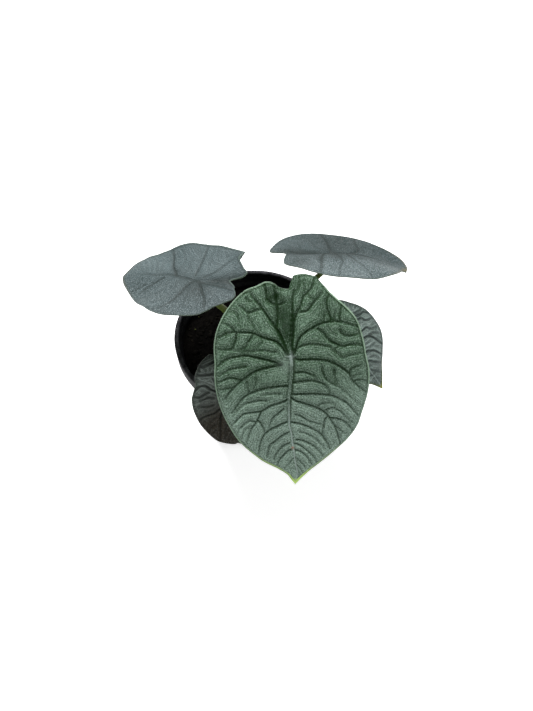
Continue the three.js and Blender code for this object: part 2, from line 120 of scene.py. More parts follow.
class Shade:
    """A socket's value, with the arithmetic that shader maths needs."""

    def __init__(self, recipe: "Recipe", socket: bpy.types.NodeSocket) -> None:
        """Keeps the socket and the recipe that new nodes go into."""
        self.recipe = recipe
        self.socket = socket

    def _math(self, operation: str, *values: Any) -> "Shade":
        """Adds a Math node on these values and returns its result."""
        return self.recipe.node("ShaderNodeMath", {"operation": operation}, dict(enumerate(values)))

    def __add__(self, other: Any) -> "Shade":
        """Returns self + other."""
        return self._math("ADD", self, other)

    def __radd__(self, other: Any) -> "Shade":
        """Returns other + self."""
        return self._math("ADD", other, self)

    def __sub__(self, other: Any) -> "Shade":
        """Returns self - other."""
        return self._math("SUBTRACT", self, other)

    def __rsub__(self, other: Any) -> "Shade":
        """Returns other - self."""
        return self._math("SUBTRACT", other, self)

    def __mul__(self, other: Any) -> "Shade":
        """Returns self * other."""
        return self._math("MULTIPLY", self, other)

    def __rmul__(self, other: Any) -> "Shade":
        """Returns other * self."""
        return self._math("MULTIPLY", other, self)

    def __pow__(self, other: Any) -> "Shade":
        """Returns self to the power other."""
        return self._math("POWER", self, other)

    def sine(self) -> "Shade":
        """Returns the sine of self."""
        return self._math("SINE", self)

    def clamp(self) -> "Shade":
        """Returns self held between 0 and 1."""
        return self.recipe.node("ShaderNodeClamp", {}, {"Value": self})

    def ramp(self, low: float, high: float) -> "Shade":
        """Returns self eased from 0 at low to 1 at high."""
        settings = {"interpolation_type": "SMOOTHSTEP"}
        inputs = {"Value": self, "From Min": low, "From Max": high}
        return self.recipe.node("ShaderNodeMapRange", settings, inputs)


class Recipe:
    """A material under construction."""

    def __init__(self, name: str) -> None:
        """Starts an empty material of this name."""
        self.material = bpy.data.materials.new(name)
        self.material.use_nodes = True
        self.tree = self.material.node_tree
        self.tree.nodes.clear()
        self.output = self.tree.nodes.new("ShaderNodeOutputMaterial")

    def node(self, kind: str, settings: dict[str, Any], inputs: dict[Any, Any], out: Any = 0) -> Shade:
        """Adds a node.

        Args:
            kind: The node's type.
            settings: The node's own options, set before its sockets.
            inputs: Values or Shades by socket name or number.
            out: The name or number of the output to return.

        Returns:
            The chosen output.
        """
        node = self.tree.nodes.new(kind)
        for key, value in settings.items():
            setattr(node, key, value)
        for key, value in inputs.items():
            socket = node.inputs[key]
            if isinstance(value, Shade):
                self.tree.links.new(value.socket, socket)
            else:
                socket.default_value = value
        return Shade(self, node.outputs[out])

    def place(self) -> Shade:
        """Returns the piece's own coordinates, in metres."""
        return self.node("ShaderNodeTexCoord", {}, {}, "Object")

    def attribute(self, name: str) -> Shade:
        """Returns a number that the mesh carries under this name."""
        return self.node("ShaderNodeAttribute", {"attribute_name": name}, {}, "Fac")

    def grain(self, per_metre: float, detail: float = 3.0, rough: float = 0.55,
              vector: Shade | None = None) -> Shade:
        """Returns cloudy noise from 0 to 1.

        Args:
            per_metre: How many clouds fit in a metre.
            detail: How many finer layers are added.
            rough: How strong the finer layers are.
            vector: Where to read it, or None for the piece's own coordinates.

        Returns:
            The noise.
        """
        inputs = {
            "Vector": vector or self.place(), "Scale": per_metre, "Detail": detail, "Roughness": rough,
        }
        return self.node("ShaderNodeTexNoise", {}, inputs, "Fac")

    def cells(self, per_metre: float) -> Shade:
        """Returns the distance to the middle of the nearest cell, with this many cells in a metre."""
        inputs = {"Vector": self.place(), "Scale": per_metre}
        return self.node("ShaderNodeTexVoronoi", {}, inputs, "Distance")

    def blend(self, amount: Any, low: Any, high: Any) -> Shade:
        """Mixes two colours.

        Args:
            amount: How much of the second, from 0 to 1.
            low: The first colour, as three numbers or a Shade.
            high: The second colour.

        Returns:
            The mixed colour.
        """
        node = self.tree.nodes.new("ShaderNodeMix")
        node.data_type = "RGBA"
        node.clamp_result = True
        for socket, value in ((node.inputs[0], amount), (node.inputs[6], low), (node.inputs[7], high)):
            if isinstance(value, Shade):
                self.tree.links.new(value.socket, socket)
            elif isinstance(value, tuple):
                socket.default_value = (*value, 1.0)
            else:
                socket.default_value = value
        return Shade(self, node.outputs[2])

    def bump(self, height: Shade, strength: float, distance: float, under: Shade | None = None) -> Shade:
        """Returns a normal that stands out with height.

        Args:
            height: The relief, from 0 to 1.
            strength: How strongly it shows.
            distance: The relief's depth in metres.
            under: A normal that it is added to.

        Returns:
            The new normal.
        """
        inputs: dict[str, Any] = {"Height": height, "Strength": strength, "Distance": distance}
        if under is not None:
            inputs["Normal"] = under
        return self.node("ShaderNodeBump", {}, inputs, "Normal")

    def close(self, inputs: dict[str, Any]) -> bpy.types.Material:
        """Closes the material with a Principled shader that takes these inputs."""
        shader = self.node("ShaderNodeBsdfPrincipled", {}, inputs, "BSDF")
        self.tree.links.new(shader.socket, self.output.inputs["Surface"])
        return self.material

    def finish(self, colour: Shade, rough: Any, normal: Shade, gloss: float) -> bpy.types.Material:
        """Closes the material of a piece of the plant.

        Args:
            colour: The skin's colour.
            rough: Its roughness, as a number or a Shade.
            normal: Its fine relief.
            gloss: The strength of its reflections.

        Returns:
            The material.
        """
        return self.close({
            "Base Color": colour, "Roughness": rough, "Normal": normal, "Specular IOR Level": gloss,
        })


@dataclass(frozen=True)
class LeafFinish:
    """The skin of a blade: pebbled and quilted, dark in its veins, with painted highlights on its swells
    and painted light and shade over parts of it.

    Attributes:
        CLOUDS: How many broad clouds fit in a metre.
        MOTTLES: How many smaller ones do.
        PEBBLES: How many pebbles of the fine relief do.
        FLECKS: How many of the finest flecks do.
        SPOT: The tone of the speck on the midrib.
        light: The tone of the painted highlight on the crowns of the swells, over the base tone, and of
            the pale clouds.
        under: The tone of the underside.
        hub: The tone of the midrib and of the star where the stalk meets the blade.
        mottling: How strong the broad pale clouds are.
        swelling: How strong the painted highlight is on the crowns.
        shading: How dark the painted shade beside a vein is.
        grain: How strong the fine dark and pale flecks are.
        vein_core: Half the width of a vein's darkest part, in millimetres.
        vein_reach: Where its dark line ends, from its middle, in millimetres.
        halo_reach: The same for the painted shade beside it.
        creasing: How deep the veins lie in the relief.
        rippling: How strong the fine waves between the veins are.
        pebbling: How strong the fine relief is.
    """

    CLOUDS = 34.0
    MOTTLES = 210.0
    PEBBLES = 1050.0
    FLECKS = 1550.0
    SPOT = (0.34, 0.16, 0.10)

    name: str
    base: Colour
    light: Colour
    vein: Colour
    speck: Colour
    # dust is the tone of the painted lighting: painted light and sheen on the front and upper leaves,
    # painted shade with a warm painted reflection on the lower-left leaf.
    dust: Colour
    hem: Colour
    tip: Colour
    under: Colour
    hub: Colour = (0.36, 0.44, 0.41)
    mottling: float = 0.25
    swelling: float = 0.8
    shading: float = 0.5
    grain: float = 0.5
    roughness: float = 0.45
    gloss: float = 0.2
    vein_core: float = 0.06
    vein_reach: float = 0.54
    vein_depth: float = 0.95
    halo_reach: float = 1.6
    creasing: float = 0.75
    rippling: float = 0.3
    pebbling: float = 1.0

    def build(self) -> bpy.types.Material:
        """Returns the blade's material."""
        r = Recipe(self.name)
        cloud = r.grain(self.CLOUDS, 4.0)
        mottle = r.grain(self.MOTTLES, 3.0, 0.6)
        fleck = r.grain(self.FLECKS, 1.0, 0.5)
        pebble = 1.0 - r.cells(self.PEBBLES).ramp(0.12, 0.5)
        near, cut, painted_lighting, puff = (r.attribute(name) for name in ("near", "cut", "painted_lighting", "puff"))
        rim, hem, lime, spine = (r.attribute(name) for name in ("rim", "hem", "lime", "spine"))
        # The lines beside the midrib are painted shade in its side grooves, stronger on the right half.
        beside = (spine.ramp(0.7, 1.2) - spine.ramp(1.5, 3.4)) * r.attribute("sided")
        midrib = (1.0 - spine.ramp(0.55, 1.15)) * r.attribute("pale")
        vein = (1.0 - near.ramp(self.vein_core, self.vein_reach)) * cut ** 0.6
        # Painted shade beside each vein.
        vein_shade = (1.0 - near.ramp(0.0, self.halo_reach)) * cut
        # The skin: its ground tone, a painted highlight on the swells, pale clouds, painted light and
        # shade over parts of the blade, flecks and fine waves.
        # Painted highlight: the crowns of the swells are painted lighter and the ground beside the veins
        # darker, in place of light and shade on the relief.
        swell = (puff * (0.60 + mottle.ramp(0.35, 0.65) * 0.55) * self.swelling).clamp()
        colour = r.blend(swell, self.base, self.light)
        colour = r.blend(cloud.ramp(0.38, 0.66) * self.mottling, colour, self.light)
        # Painted lighting: painted light and sheen on the front and upper leaves, painted shade with a
        # warm painted reflection on the lower-left leaf.
        colour = r.blend(painted_lighting, colour, self.dust)
        # Grit strengthens the flecks; on the upper leaves its pale specks are partly painted glints.
        grit = r.attribute("grit")
        pits = (1.0 - fleck.ramp(0.34, 0.50)) * (0.65 + grit * 0.5)
        specks = fleck.ramp(0.52, 0.66) * (0.5 + grit)
        colour = r.blend(pits * self.grain, colour, self.vein)
        colour = r.blend(specks * self.grain, colour, self.speck)
        colour = r.blend(pebble * self.grain * 0.8, colour, self.speck)
        ripple = (near * 5.0 + mottle * 9.0).sine().ramp(0.0, 0.9) * (1.0 - painted_lighting * 0.6)
        colour = r.blend(ripple * self.rippling, colour, self.vein)
        # The dark parts: painted shade in the valley and in the soft patches, the veins with
        # the painted shade beside them, and the lines of painted shade beside the midrib.
        colour = r.blend(r.attribute("painted_shade"), colour, self.vein)
        colour = r.blend((vein_shade * self.shading).clamp(), colour, self.vein)
        colour = r.blend((vein * self.vein_depth).clamp(), colour, self.vein)
        colour = r.blend(beside * 0.8, colour, self.vein)
        # The midrib and the star at the stalk, then the margin, the drip tip and the underside.
        for pale in (midrib, r.attribute("hub")):
            colour = r.blend((pale * (0.75 + fleck * 0.4)).clamp(), colour, self.hub)
        colour = r.blend((1.0 - rim.ramp(0.9, 2.6)) * hem * 0.68, colour, self.vein)
        width = 0.45 + lime * 0.7
        border = r.blend(lime, self.hem, self.tip)
        colour = r.blend((1.0 - (rim - width).ramp(0.0, 0.5)) * hem, colour, border)
        colour = r.blend(r.attribute("end"), colour, self.tip)
        colour = r.blend(r.attribute("spot"), colour, self.SPOT)
        colour = r.blend(r.attribute("under"), colour, self.under)
        crease = r.bump(1.0 - (1.0 - near.ramp(0.0, 1.3)) * cut, self.creasing, 0.0006)
        fine = pebble * 0.7 + fleck * 0.5 - ripple * self.rippling
        rough = self.roughness + cloud * 0.12 - puff * 0.06
        return r.finish(colour, rough, r.bump(fine, self.pebbling, 0.00034, crease), self.gloss)


@dataclass(frozen=True)
class StalkFinish:
    """The smooth skin of a leaf stalk, mottled and paler towards its base."""

    name: str
    base: Colour
    light: Colour
    mottle: Colour
    gloss: float = 0.2

    def build(self) -> bpy.types.Material:
        """Returns the stalk's material."""
        r = Recipe(self.name)
        inputs = {"Vector": r.place(), "Scale": (1.0, 1.0, 0.35)}
        stretch = r.node("ShaderNodeMapping", {}, inputs, "Vector")
        spots = r.grain(420.0, 2.0, 0.5, stretch)
        streak = r.grain(1500.0, 2.0, 0.5, stretch)
        colour = r.blend(r.attribute("low"), self.base, self.light)
        colour = r.blend(spots.ramp(0.55, 0.68) * 0.5, colour, self.mottle)
        colour = r.blend(streak.ramp(0.4, 0.7) * 0.2, colour, self.light)
        return r.finish(colour, 0.42 + spots * 0.12, r.bump(streak, 0.3, 0.0001), self.gloss)


@dataclass(frozen=True)
class PotFinish:
    """Moulded black plastic with a faint grain, dust and rubbed edges."""

    name: str
    base: Colour
    dust: Colour
    gloss: float = 0.08

    def build(self) -> bpy.types.Material:
        """Returns the pot's material."""
        r = Recipe(self.name)
        grain = r.grain(1600.0, 2.0)
        smear = r.grain(45.0, 5.0, 0.6)
        scuff = r.grain(260.0, 4.0, 0.7)
        colour = r.blend(smear.ramp(0.5, 0.8) * 0.10, self.base, self.dust)
        colour = r.blend(r.attribute("edge") * scuff.ramp(0.35, 0.7) * 0.35, colour, self.dust)
        rough = 0.50 + smear * 0.18 + scuff * 0.06
        return r.finish(colour, rough, r.bump(grain, 0.25, 0.00006), self.gloss)


@dataclass(frozen=True)
class CrumbFinish:
    """Rough matter with crumbs of two tones, as the potting mix, its chips and the rootstock have."""

    name: str
    dark: Colour
    light: Colour
    roughness: float = 0.95
    per_metre: float = 900.0
    gloss: float = 0.03

    def build(self) -> bpy.types.Material:
        """Returns the crumbs' material."""
        r = Recipe(self.name)
        fine = r.grain(self.per_metre, 5.0, 0.65)
        broad = r.grain(70.0, 3.0)
        colour = r.blend(fine.ramp(0.35, 0.75) * broad.ramp(0.25, 0.8), self.dark, self.light)
        return r.finish(colour, self.roughness, r.bump(fine, 0.8, 0.0005), self.gloss)


@dataclass(frozen=True)
class Margin:
    """The margin of a half blade: rows of angle in degrees and radius in millimetres."""

    rows: tuple[Pair, ...]

    def slope(self, k: int) -> float:
        """Returns the curve's slope at row k, with no overshoot."""
        if k in (0, len(self.rows) - 1):
            return 0.0
        (a0, r0), (a1, r1), (a2, r2) = self.rows[k - 1:k + 2]
        before = (r1 - r0) / (a1 - a0)
        after = (r2 - r1) / (a2 - a1)
        return 2.0 * before * after / (before + after) if before * after > 0.0 else 0.0

    def radius(self, angle: float) -> float:
        """Returns the radius at an angle from the tip."""
        k = 0
        while k < len(self.rows) - 2 and angle > self.rows[k + 1][0]:
            k += 1
        (a0, r0), (a1, r1) = self.rows[k:k + 2]
        width = a1 - a0
        t = min(max((angle - a0) / width, 0.0), 1.0)
        start = (self.rows[1][1] - self.rows[0][1]) / width if k == 0 else self.slope(k)
        h00 = 2 * t ** 3 - 3 * t ** 2 + 1
        h10 = t ** 3 - 2 * t ** 2 + t
        h01 = 3 * t ** 2 - 2 * t ** 3
        h11 = t ** 3 - t ** 2
        return h00 * r0 + h10 * width * start + h01 * r1 + h11 * width * self.slope(k + 1)

    def point(self, angle: float) -> Vector:
        """Returns the margin's point at an angle from the tip."""
        return polar(self.radius(angle), angle)


@dataclass(frozen=True)
class Form:
    """How a blade's broad surface leaves its plane, in millimetres.

    Attributes:
        length: The length over which the tip droops.
        width: The half width over which the sides droop.
        tip: How far the tip droops.
        lobe: How far the basal lobes droop.
        right: How far the right side droops.
        left: How far the left side droops.
        valley: How deep the strip from the stalk to the notch is.
        ripple: The height of the margin's waves.
        waves: How many waves there are to a turn of 2 pi.
        phase: Where the waves start, in radians.
    """

    length: float
    width: float
    tip: float
    lobe: float
    right: float
    left: float
    valley: float
    ripple: float
    waves: float
    phase: float


@dataclass(frozen=True)
class Vein:
    """A vein: how deep it is, from 0 to 1, and its points along and across the blade, in millimetres."""

    weight: float
    points: tuple[Pair, ...]

    def trace(self, step: float) -> list[tuple[Vector, float]]:
        """Follows the smooth curve through the vein's points.

        Args:
            step: How far apart the places on it are, in millimetres.

        Returns:
            Places on the curve, each with the vein's depth there.
        """
        knots = [Vector(p) for p in self.points]
        knots = [knots[0] * 2.0 - knots[1], *knots, knots[-1] * 2.0 - knots[-2]]
        places = []
        for a, b, c, d in zip(knots, knots[1:], knots[2:], knots[3:]):
            count = max(1, math.ceil((c - b).length / step))
            for n in range(count):
                t = n / count
                bend = (a * 2.0 - b * 5.0 + c * 4.0 - d) * t ** 2 + (b * 3.0 - a - c * 3.0 + d) * t ** 3
                places.append((b * 2.0 + (c - a) * t + bend) * 0.5)
        last = len(places) - 1
        return [(p, self.weight * (1.0 - 0.5 * (k / last) ** 2)) for k, p in enumerate(places)]


class VeinMap:
    """A set of places on veins that gives the distance from anywhere to the nearest one."""

    STEP = 0.22

    def __init__(self) -> None:
        """Starts with no veins."""
        self.places: list[tuple[Vector, float]] = []
        self.tree: kdtree.KDTree | None = None

    def add(self, places: Sequence[tuple[Vector, float]]) -> None:
        """Adds a vein's places, each with its depth."""
        self.places.extend(places)

    def close(self) -> None:
        """Sorts the places, after which they can be searched."""
        self.tree = kdtree.KDTree(len(self.places))
        for k, (p, _) in enumerate(self.places):
            self.tree.insert((p.x, p.y, 0.0), k)
        self.tree.balance()

    def near(self, p: Vector) -> tuple[float, float]:
        """Returns the distance to the nearest place and its depth."""
        _, index, distance = self.tree.find((p.x, p.y, 0.0))
        return (distance, self.places[index][1]) if index is not None else (math.inf, 0.0)


@dataclass
class Leaf:
    """One blade and its stalk: where it hangs, its outline, its form and its veins.

    Attributes:
        attach: Where the stalk meets the blade, in the plant's frame.
        facing: The turn and the tilt of the upper face, in degrees.
        toward: The heading of the tip.
        stalk_turn: The side of the crown on which the stalk rises, in degrees.
        stalk_rise: How far the stalk rises before it bends, as a share of its span.
        sway: How far the midrib sways to the right, by share of its length.
        swells: Soft domes of the broad surface, as their middle, height and reach.
        notch_turn: How far the valley turns to the right of the middle line, in degrees.
        right_ribs: The angles at which the right half's mesh rows meet the margin. The last
            is that of the basal lobe's end.
        pattern: The leaf whose veins this one borrows, faintly, between its own.
        borrowed: How strong the borrowed veins are.
        mirrored: Whether they are borrowed from the other half.
        quilt: How high the swells between the veins are.
        midrib: How clear the pale midrib is. Without one, a plain vein takes its place.
        spot: Where a small reddish speck lies on the midrib.
        shadows: Soft patches of painted shade on the skin, as their middle, reach and strength.
        painted_lighting_spread: The heading in which painted lighting spreads over the skin, where that
            starts and
        ends, and how strong it gets: painted light and sheen on the front and upper leaves,
        painted shade with a warm painted reflection on the lower-left leaf.
        grit: The same for its pale specks and dark pits; on the upper leaves the pale specks are partly
            painted glints.
        hems: Stretches of the margin, by angle and negative on the left, with a pale hem.
        tip_colour: How strong the colour of the drip tip is.
        rows: How many mesh rows there are along a half.
        columns: How many mesh columns there are from the midrib to the margin.
        VALLEY_WIDTH: Half the width of the sunken strip to the notch, in degrees.
        VALLEY_START: How far from the stalk it reaches its full depth, in millimetres.
        SHADE_WIDTH: Half the width of its shade, in degrees.
        LOBE_BEND: Where the lobe's main rib bends, as a share of its length.
        HEM_FADE: Over how many degrees a hem starts and ends.
    """

    VALLEY_WIDTH = 17.0
    VALLEY_START = 12.0
    SHADE_WIDTH = 14.0
    LOBE_BEND = 0.55
    HEM_FADE = 6.0

    name: str
    attach: Triple
    facing: Pair
    toward: Triple
    right: Margin
    left: Margin
    form: Form
    finish: LeafFinish
    slot: str
    veins: tuple[Vein, ...]
    stalk_turn: float
    stalk_top: float
    stalk_rise: float = 0.5
    stalk_base: float = 2.4
    sway: tuple[Pair, ...] = ((0.0, 0.0), (1.0, 0.0))
    swells: tuple[Quad, ...] = ()
    notch_turn: float = 0.0
    right_ribs: tuple[float, ...] = RIB_ANGLES
    left_ribs: tuple[float, ...] = RIB_ANGLES
    pattern: "Leaf | None" = None
    borrowed: float = 0.5
    mirrored: bool = False
    quilt: float = 0.7
    midrib: float = 0.0
    spot: Pair | None = None
    shadows: tuple[Quad, ...] = ()
    painted_lighting_spread: Quad = (0.0, 0.0, 1.0, 0.0)
    grit: Quad = (0.0, 0.0, 1.0, 0.0)
    hems: tuple[Triple, ...] = ()
    tip_colour: float = 1.0
    rows: int = 220
    columns: int = 66
    seed: int = 1

    def margin(self, side: Side) -> Margin:
        """Returns the margin of one half."""
        return self.right if side is Side.RIGHT else self.left

    def ribs(self, side: Side) -> tuple[float, ...]:
        """Returns the angles at which one half's mesh rows meet the margin."""
        return self.right_ribs if side is Side.RIGHT else self.left_ribs

    def edge(self, angle: float, side: Side) -> Vector:
        """Returns the margin's point at an angle, on either half."""
        p = self.margin(side).point(angle)
        return Vector((p.x, side.value * p.y))

    def length(self) -> float:
        """Returns the distance from the stalk to the tip."""
        return self.right.radius(0.0)

    def normal(self) -> Vector:
        """Returns the direction that the upper face looks in."""
        turn, tilt = (math.radians(v) for v in self.facing)
        return Vector((math.sin(tilt) * math.sin(turn), -math.sin(tilt) * math.cos(turn), math.cos(tilt)))

    def matrix(self) -> Matrix:
        """Returns the placing of the blade's plane, from millimetres to metres."""
        up = self.normal()
        tip = Vector(self.toward)
        tip = (tip - up * tip.dot(up)).normalized()
        side = up.cross(tip)
        turn = Matrix((tip, side, up)).transposed().to_4x4()
        return Matrix.Translation(Vector(self.attach) * MM) @ turn @ Matrix.Scale(MM, 4)

    def sideways(self, place: float) -> float:
        """Returns how far the midrib sways to the right at a share of its length."""
        for (p0, w0), (p1, w1) in zip(self.sway, self.sway[1:]):
            if place <= p1:
                return lerp(w0, w1, smooth(p0, p1, place))
        return 0.0

    def axis(self, place: float, side: Side) -> Vector:
        """Returns a point of the midrib, or of the lobe's main rib for a place below 0."""
        if place >= 0.0:
            return Vector((place * self.length(), self.sideways(place)))
        end = self.margin(side).point(self.ribs(side)[-1])
        bend = polar(self.LOBE_BEND * end.length, COSTA_ANGLE)
        p = bend * (2 * -place * (1 + place)) + end * place * place
        return Vector((p.x, side.value * p.y))

    def broad(self, x: float, y: float) -> float:
        """Returns the height of the broad surface over the blade's plane."""
        f = self.form
        across = f.right if y > 0.0 else f.left
        z = -f.tip * (max(x, 0.0) / f.length) ** 2 - f.lobe * (min(x, 0.0) / (0.6 * f.length)) ** 2
        z -= across * (y / f.width) ** 2
        radius = math.hypot(x, y)
        angle = math.atan2(y, x)
        z -= self.valley(radius, angle, self.VALLEY_WIDTH) * f.valley
        z += f.ripple * min(radius / f.width, 1.3) ** 4 * math.sin(f.waves * angle + f.phase)
        for cx, cy, height, size in self.swells:
            z += height * bell(math.hypot(x - cx, y - cy), size)
        return z

    def valley(self, radius: float, angle: float, width: float) -> float:
        """Returns how far a point lies in the sunken strip from the stalk to the notch."""
        off = math.degrees(math.acos(math.cos(angle - math.radians(180.0 - self.notch_turn))))
        return bell(off, width) * smooth(0.0, self.VALLEY_START, radius)

    def shadow(self, p: Vector) -> float:
        """Returns how much painted shade lies on the skin at a point, in the valley and in the soft
        patches.
        """
        radius = p.length
        strip = self.valley(radius, math.atan2(p.y, p.x), self.SHADE_WIDTH) * smooth(1.0, 5.0, radius)
        strip = 0.8 * strip * (1.0 - 0.6 * smooth(22.0, 40.0, radius))
        patches = (depth * bell(math.hypot(p.x - x, p.y - y), reach)
                   for x, y, reach, depth in self.shadows)
        return max(strip, *patches, 0.0)

    def borrow(self, p: Vector) -> Vector:
        """Returns where a point of the pattern's blade lies on this one."""
        side = Side.RIGHT if p.y > 0.0 else Side.LEFT
        angle = math.degrees(math.atan2(abs(p.y), p.x))
        share = p.length / self.pattern.margin(side).radius(angle)
        if self.mirrored:
            side = Side(-side.value)
        return self.edge(angle, side) * share

    @staticmethod
    def strewn(spread: Quad, p: Vector) -> float:
        """Returns how much of something lies at a point, by its heading, start, end and strength."""
        heading, start, end, strength = spread
        return strength * smooth(start, end, p.dot(polar(1.0, heading)))

    def hem(self, p: Vector) -> float:
        """Returns how pale the hem is beside a point."""
        angle = math.degrees(math.atan2(p.y, p.x))
        pale = [0.0]
        for low, high, strength in self.hems:
            started = smooth(low - self.HEM_FADE, low + self.HEM_FADE, angle)
            ended = smooth(high - self.HEM_FADE, high + self.HEM_FADE, angle)
            pale.append(strength * started * (1.0 - ended))
        return max(pale)


class Blade:
    """Builds the fine mesh of one blade.

    Attributes:
        EDGE_THICKNESS: How thick the blade is at its margin, in millimetres.
        FAR: The greatest distance to a vein or to the margin that the mesh keeps.
        CLASSES: The least depths of strong, middling and faint veins, which are searched apart.
        BROAD: How wide the broad slopes beside a vein are, in millimetres.
        TIGHT: How wide the steep slopes at a vein are, in millimetres.
        LINE: How wide the fine line in a vein is, in millimetres.
        RISES: How much of a swell's height the broad and the steep slopes make.
        LUMPS: The height of the skin's soft lumps, in millimetres, and how many fit in one.
        MARKS: The numbers that the mesh carries for its colours.
        SPINE_STEPS: How many places the midrib has.
        EDGE_STEPS: How many places the margin has on each half.
        SPREAD_STEPS: How many places are tried to space the rows.
        ROW_LEAN: How far the rows lean back at their start, in degrees.
        CROWDING: How much closer the columns stand at the midrib and the margin.
        INNER_SHARE: How many columns lie beside the notch, as a share of the outer ones.
        WELD: How near points are joined, in millimetres.
        SLIVER: How short edges are taken out, in millimetres.
        HUB: The strokes of the pale star, as their strength, middle, reach along and reach across.
    """

    EDGE_THICKNESS = 0.6
    FAR = 4.0
    CLASSES = (0.82, 0.5, 0.0)
    BROAD = 1.9
    TIGHT = 0.95
    LINE = 0.45
    RISES = (0.62, 0.34)
    LUMPS = ((0.16, 0.34), (0.10, 0.85))
    MARKS = ("near", "cut", "puff", "painted_shade", "spine", "sided", "pale", "hub", "rim", "hem", "lime",
             "end", "spot", "painted_lighting", "grit")
    SPINE_STEPS = 400
    EDGE_STEPS = 1400
    SPREAD_STEPS = 520
    ROW_LEAN = 15.0
    CROWDING = 0.35
    INNER_SHARE = 0.3
    WELD = 0.03
    SLIVER = 0.01
    HUB = ((0.8, 0.5, 0.4, 2.8, 0.9), (0.5, 0.0, 0.0, 0.8, 2.8), (0.25, 4.0, -3.0, 4.5, 4.0))

    def __init__(self, leaf: Leaf) -> None:
        """Draws the leaf's veins, ready for meshing."""
        self.leaf = leaf
        self.veins = tuple(VeinMap() for _ in self.CLASSES)
        self.spine = VeinMap()
        self.keel = VeinMap()
        self.edge = VeinMap()
        self.draw_veins()

    def draw_veins(self) -> None:
        """Draws the midrib, the lobes' main ribs, the leaf's own veins and the borrowed ones."""
        leaf = self.leaf
        steps = [k / self.SPINE_STEPS for k in range(self.SPINE_STEPS + 1)]
        turns = [180.0 * k / self.EDGE_STEPS for k in range(self.EDGE_STEPS + 1)]
        self.spine.add([(leaf.axis(t, Side.RIGHT), 1.0 - 0.6 * t) for t in steps])
        self.keel.add(self.spine.places)
        for side in Side:
            self.keel.add([(leaf.axis(-t, side), 0.8 * (1.0 - t)) for t in steps])
            self.edge.add([(leaf.edge(turn, side), 1.0) for turn in turns])
        own = VeinMap()
        for vein in leaf.veins:
            own.add(vein.trace(VeinMap.STEP))
        if leaf.midrib == 0.0:
            own.add([(p, 1.1 * (depth - 0.4)) for p, depth in self.spine.places])
        own.close()
        places = list(own.places)
        if leaf.pattern is not None:
            for vein in leaf.pattern.veins:
                for p, depth in vein.trace(VeinMap.STEP):
                    at = leaf.borrow(p)
                    away = smooth(1.2, 3.0, own.near(at)[0])
                    if away > 0.1:
                        places.append((at, depth * leaf.borrowed * away))
        for p, depth in places:
            rank = next(k for k, least in enumerate(self.CLASSES) if depth >= least)
            self.veins[rank].add([(p, depth)])
        for veins in (*self.veins, self.spine, self.keel, self.edge):
            veins.close()

    @staticmethod
    def between(values: Sequence[float], s: float) -> float:
        """Returns the value at a share of the way through a row of values."""
        at = s * (len(values) - 1)
        k = min(int(at), len(values) - 2)
        return lerp(values[k], values[k + 1], at - k)

    def outer_point(self, s: float, t: float, side: Side) -> Vector:
        """Returns a point of the outer part of a half.

        Args:
            s: The row, from 0 at the tip to 1 at the lobe's end.
            t: The place on the row, from 0 on the axis to 1 on the margin.
            side: The half.

        Returns:
            The point in the blade's plane.
        """
        start = self.leaf.axis(self.between(RIB_PLACES, s), side)
        end = self.leaf.edge(self.between(self.leaf.ribs(side), s), side)
        chord = end - start
        lean = math.radians(self.ROW_LEAN) * smooth(0.0, 14.0, chord.length) * side.value
        bend = start + Matrix.Rotation(lean, 2) @ chord * 0.5
        return start * (1 - t) ** 2 + bend * (2 * t * (1 - t)) + end * t * t

    def inner_point(self, u: float, v: float, side: Side) -> Vector:
        """Returns a point between the lobe's main rib and the notch.

        Args:
            u: How far out it is, from 0 at the stalk to 1 on the margin.
            v: How far across, from 0 on the rib to 1 on the middle line.
            side: The half.

        Returns:
            The point in the blade's plane.
        """
        notch = self.leaf.margin(side).radius(180.0)
        p = self.leaf.axis(-u, side).lerp(Vector((-u * notch, 0.0)), v)
        edge = self.leaf.edge(lerp(self.leaf.ribs(side)[-1], 180.0, v), side)
        edge -= self.leaf.axis(-1.0, side).lerp(Vector((-notch, 0.0)), v)
        return p + edge * u ** 3

    def spread(self) -> list[float]:
        """Returns the rows' places, set so that they are evenly spaced over the blade."""
        steps = self.SPREAD_STEPS
        probes = [(t, side) for t in (0.0, 0.5, 1.0) for side in Side]
        total = [0.0]
        last = [self.outer_point(0.0, *probe) for probe in probes]
        for k in range(1, steps + 1):
            now = [self.outer_point(k / steps, *probe) for probe in probes]
            total.append(total[-1] + max((a - b).length for a, b in zip(now, last)))
            last = now
        result = []
        k = 0
        for row in range(self.leaf.rows + 1):
            goal = total[-1] * row / self.leaf.rows
            while k < steps - 1 and total[k + 1] < goal:
                k += 1
            part = (goal - total[k]) / max(total[k + 1] - total[k], 1e-9)
            result.append(min((k + part) / steps, 1.0))
        return result

    def lay_half(self, bm: bmesh.types.BMesh, side: Side, places: Sequence[float]) -> None:
        """Lays the grids of one half in the blade's plane.

        Args:
            bm: The mesh to add to.
            side: The half.
            places: The outer rows' places.
        """
        leaf = self.leaf
        grid = bmesh.ops.create_grid(bm, x_segments=leaf.rows, y_segments=leaf.columns, size=1.0)
        for vert in grid["verts"]:
            row = round((vert.co.x + 1.0) / 2.0 * leaf.rows)
            u = (vert.co.y + 1.0) / 2.0
            t = u - self.CROWDING * math.sin(2.0 * math.pi * u) / (2.0 * math.pi)
            vert.co = self.outer_point(places[row], t, side).to_3d()
        along = [self.between(RIB_PLACES, s) for s in places]
        shares = [0.0] + [-place for place in along if place < 0.0]
        across = round(leaf.columns * self.INNER_SHARE)
        grid = bmesh.ops.create_grid(bm, x_segments=len(shares) - 1, y_segments=across, size=1.0)
        for vert in grid["verts"]:
            row = round((vert.co.x + 1.0) / 2.0 * (len(shares) - 1))
            vert.co = self.inner_point(shares[row], (vert.co.y + 1.0) / 2.0, side).to_3d()

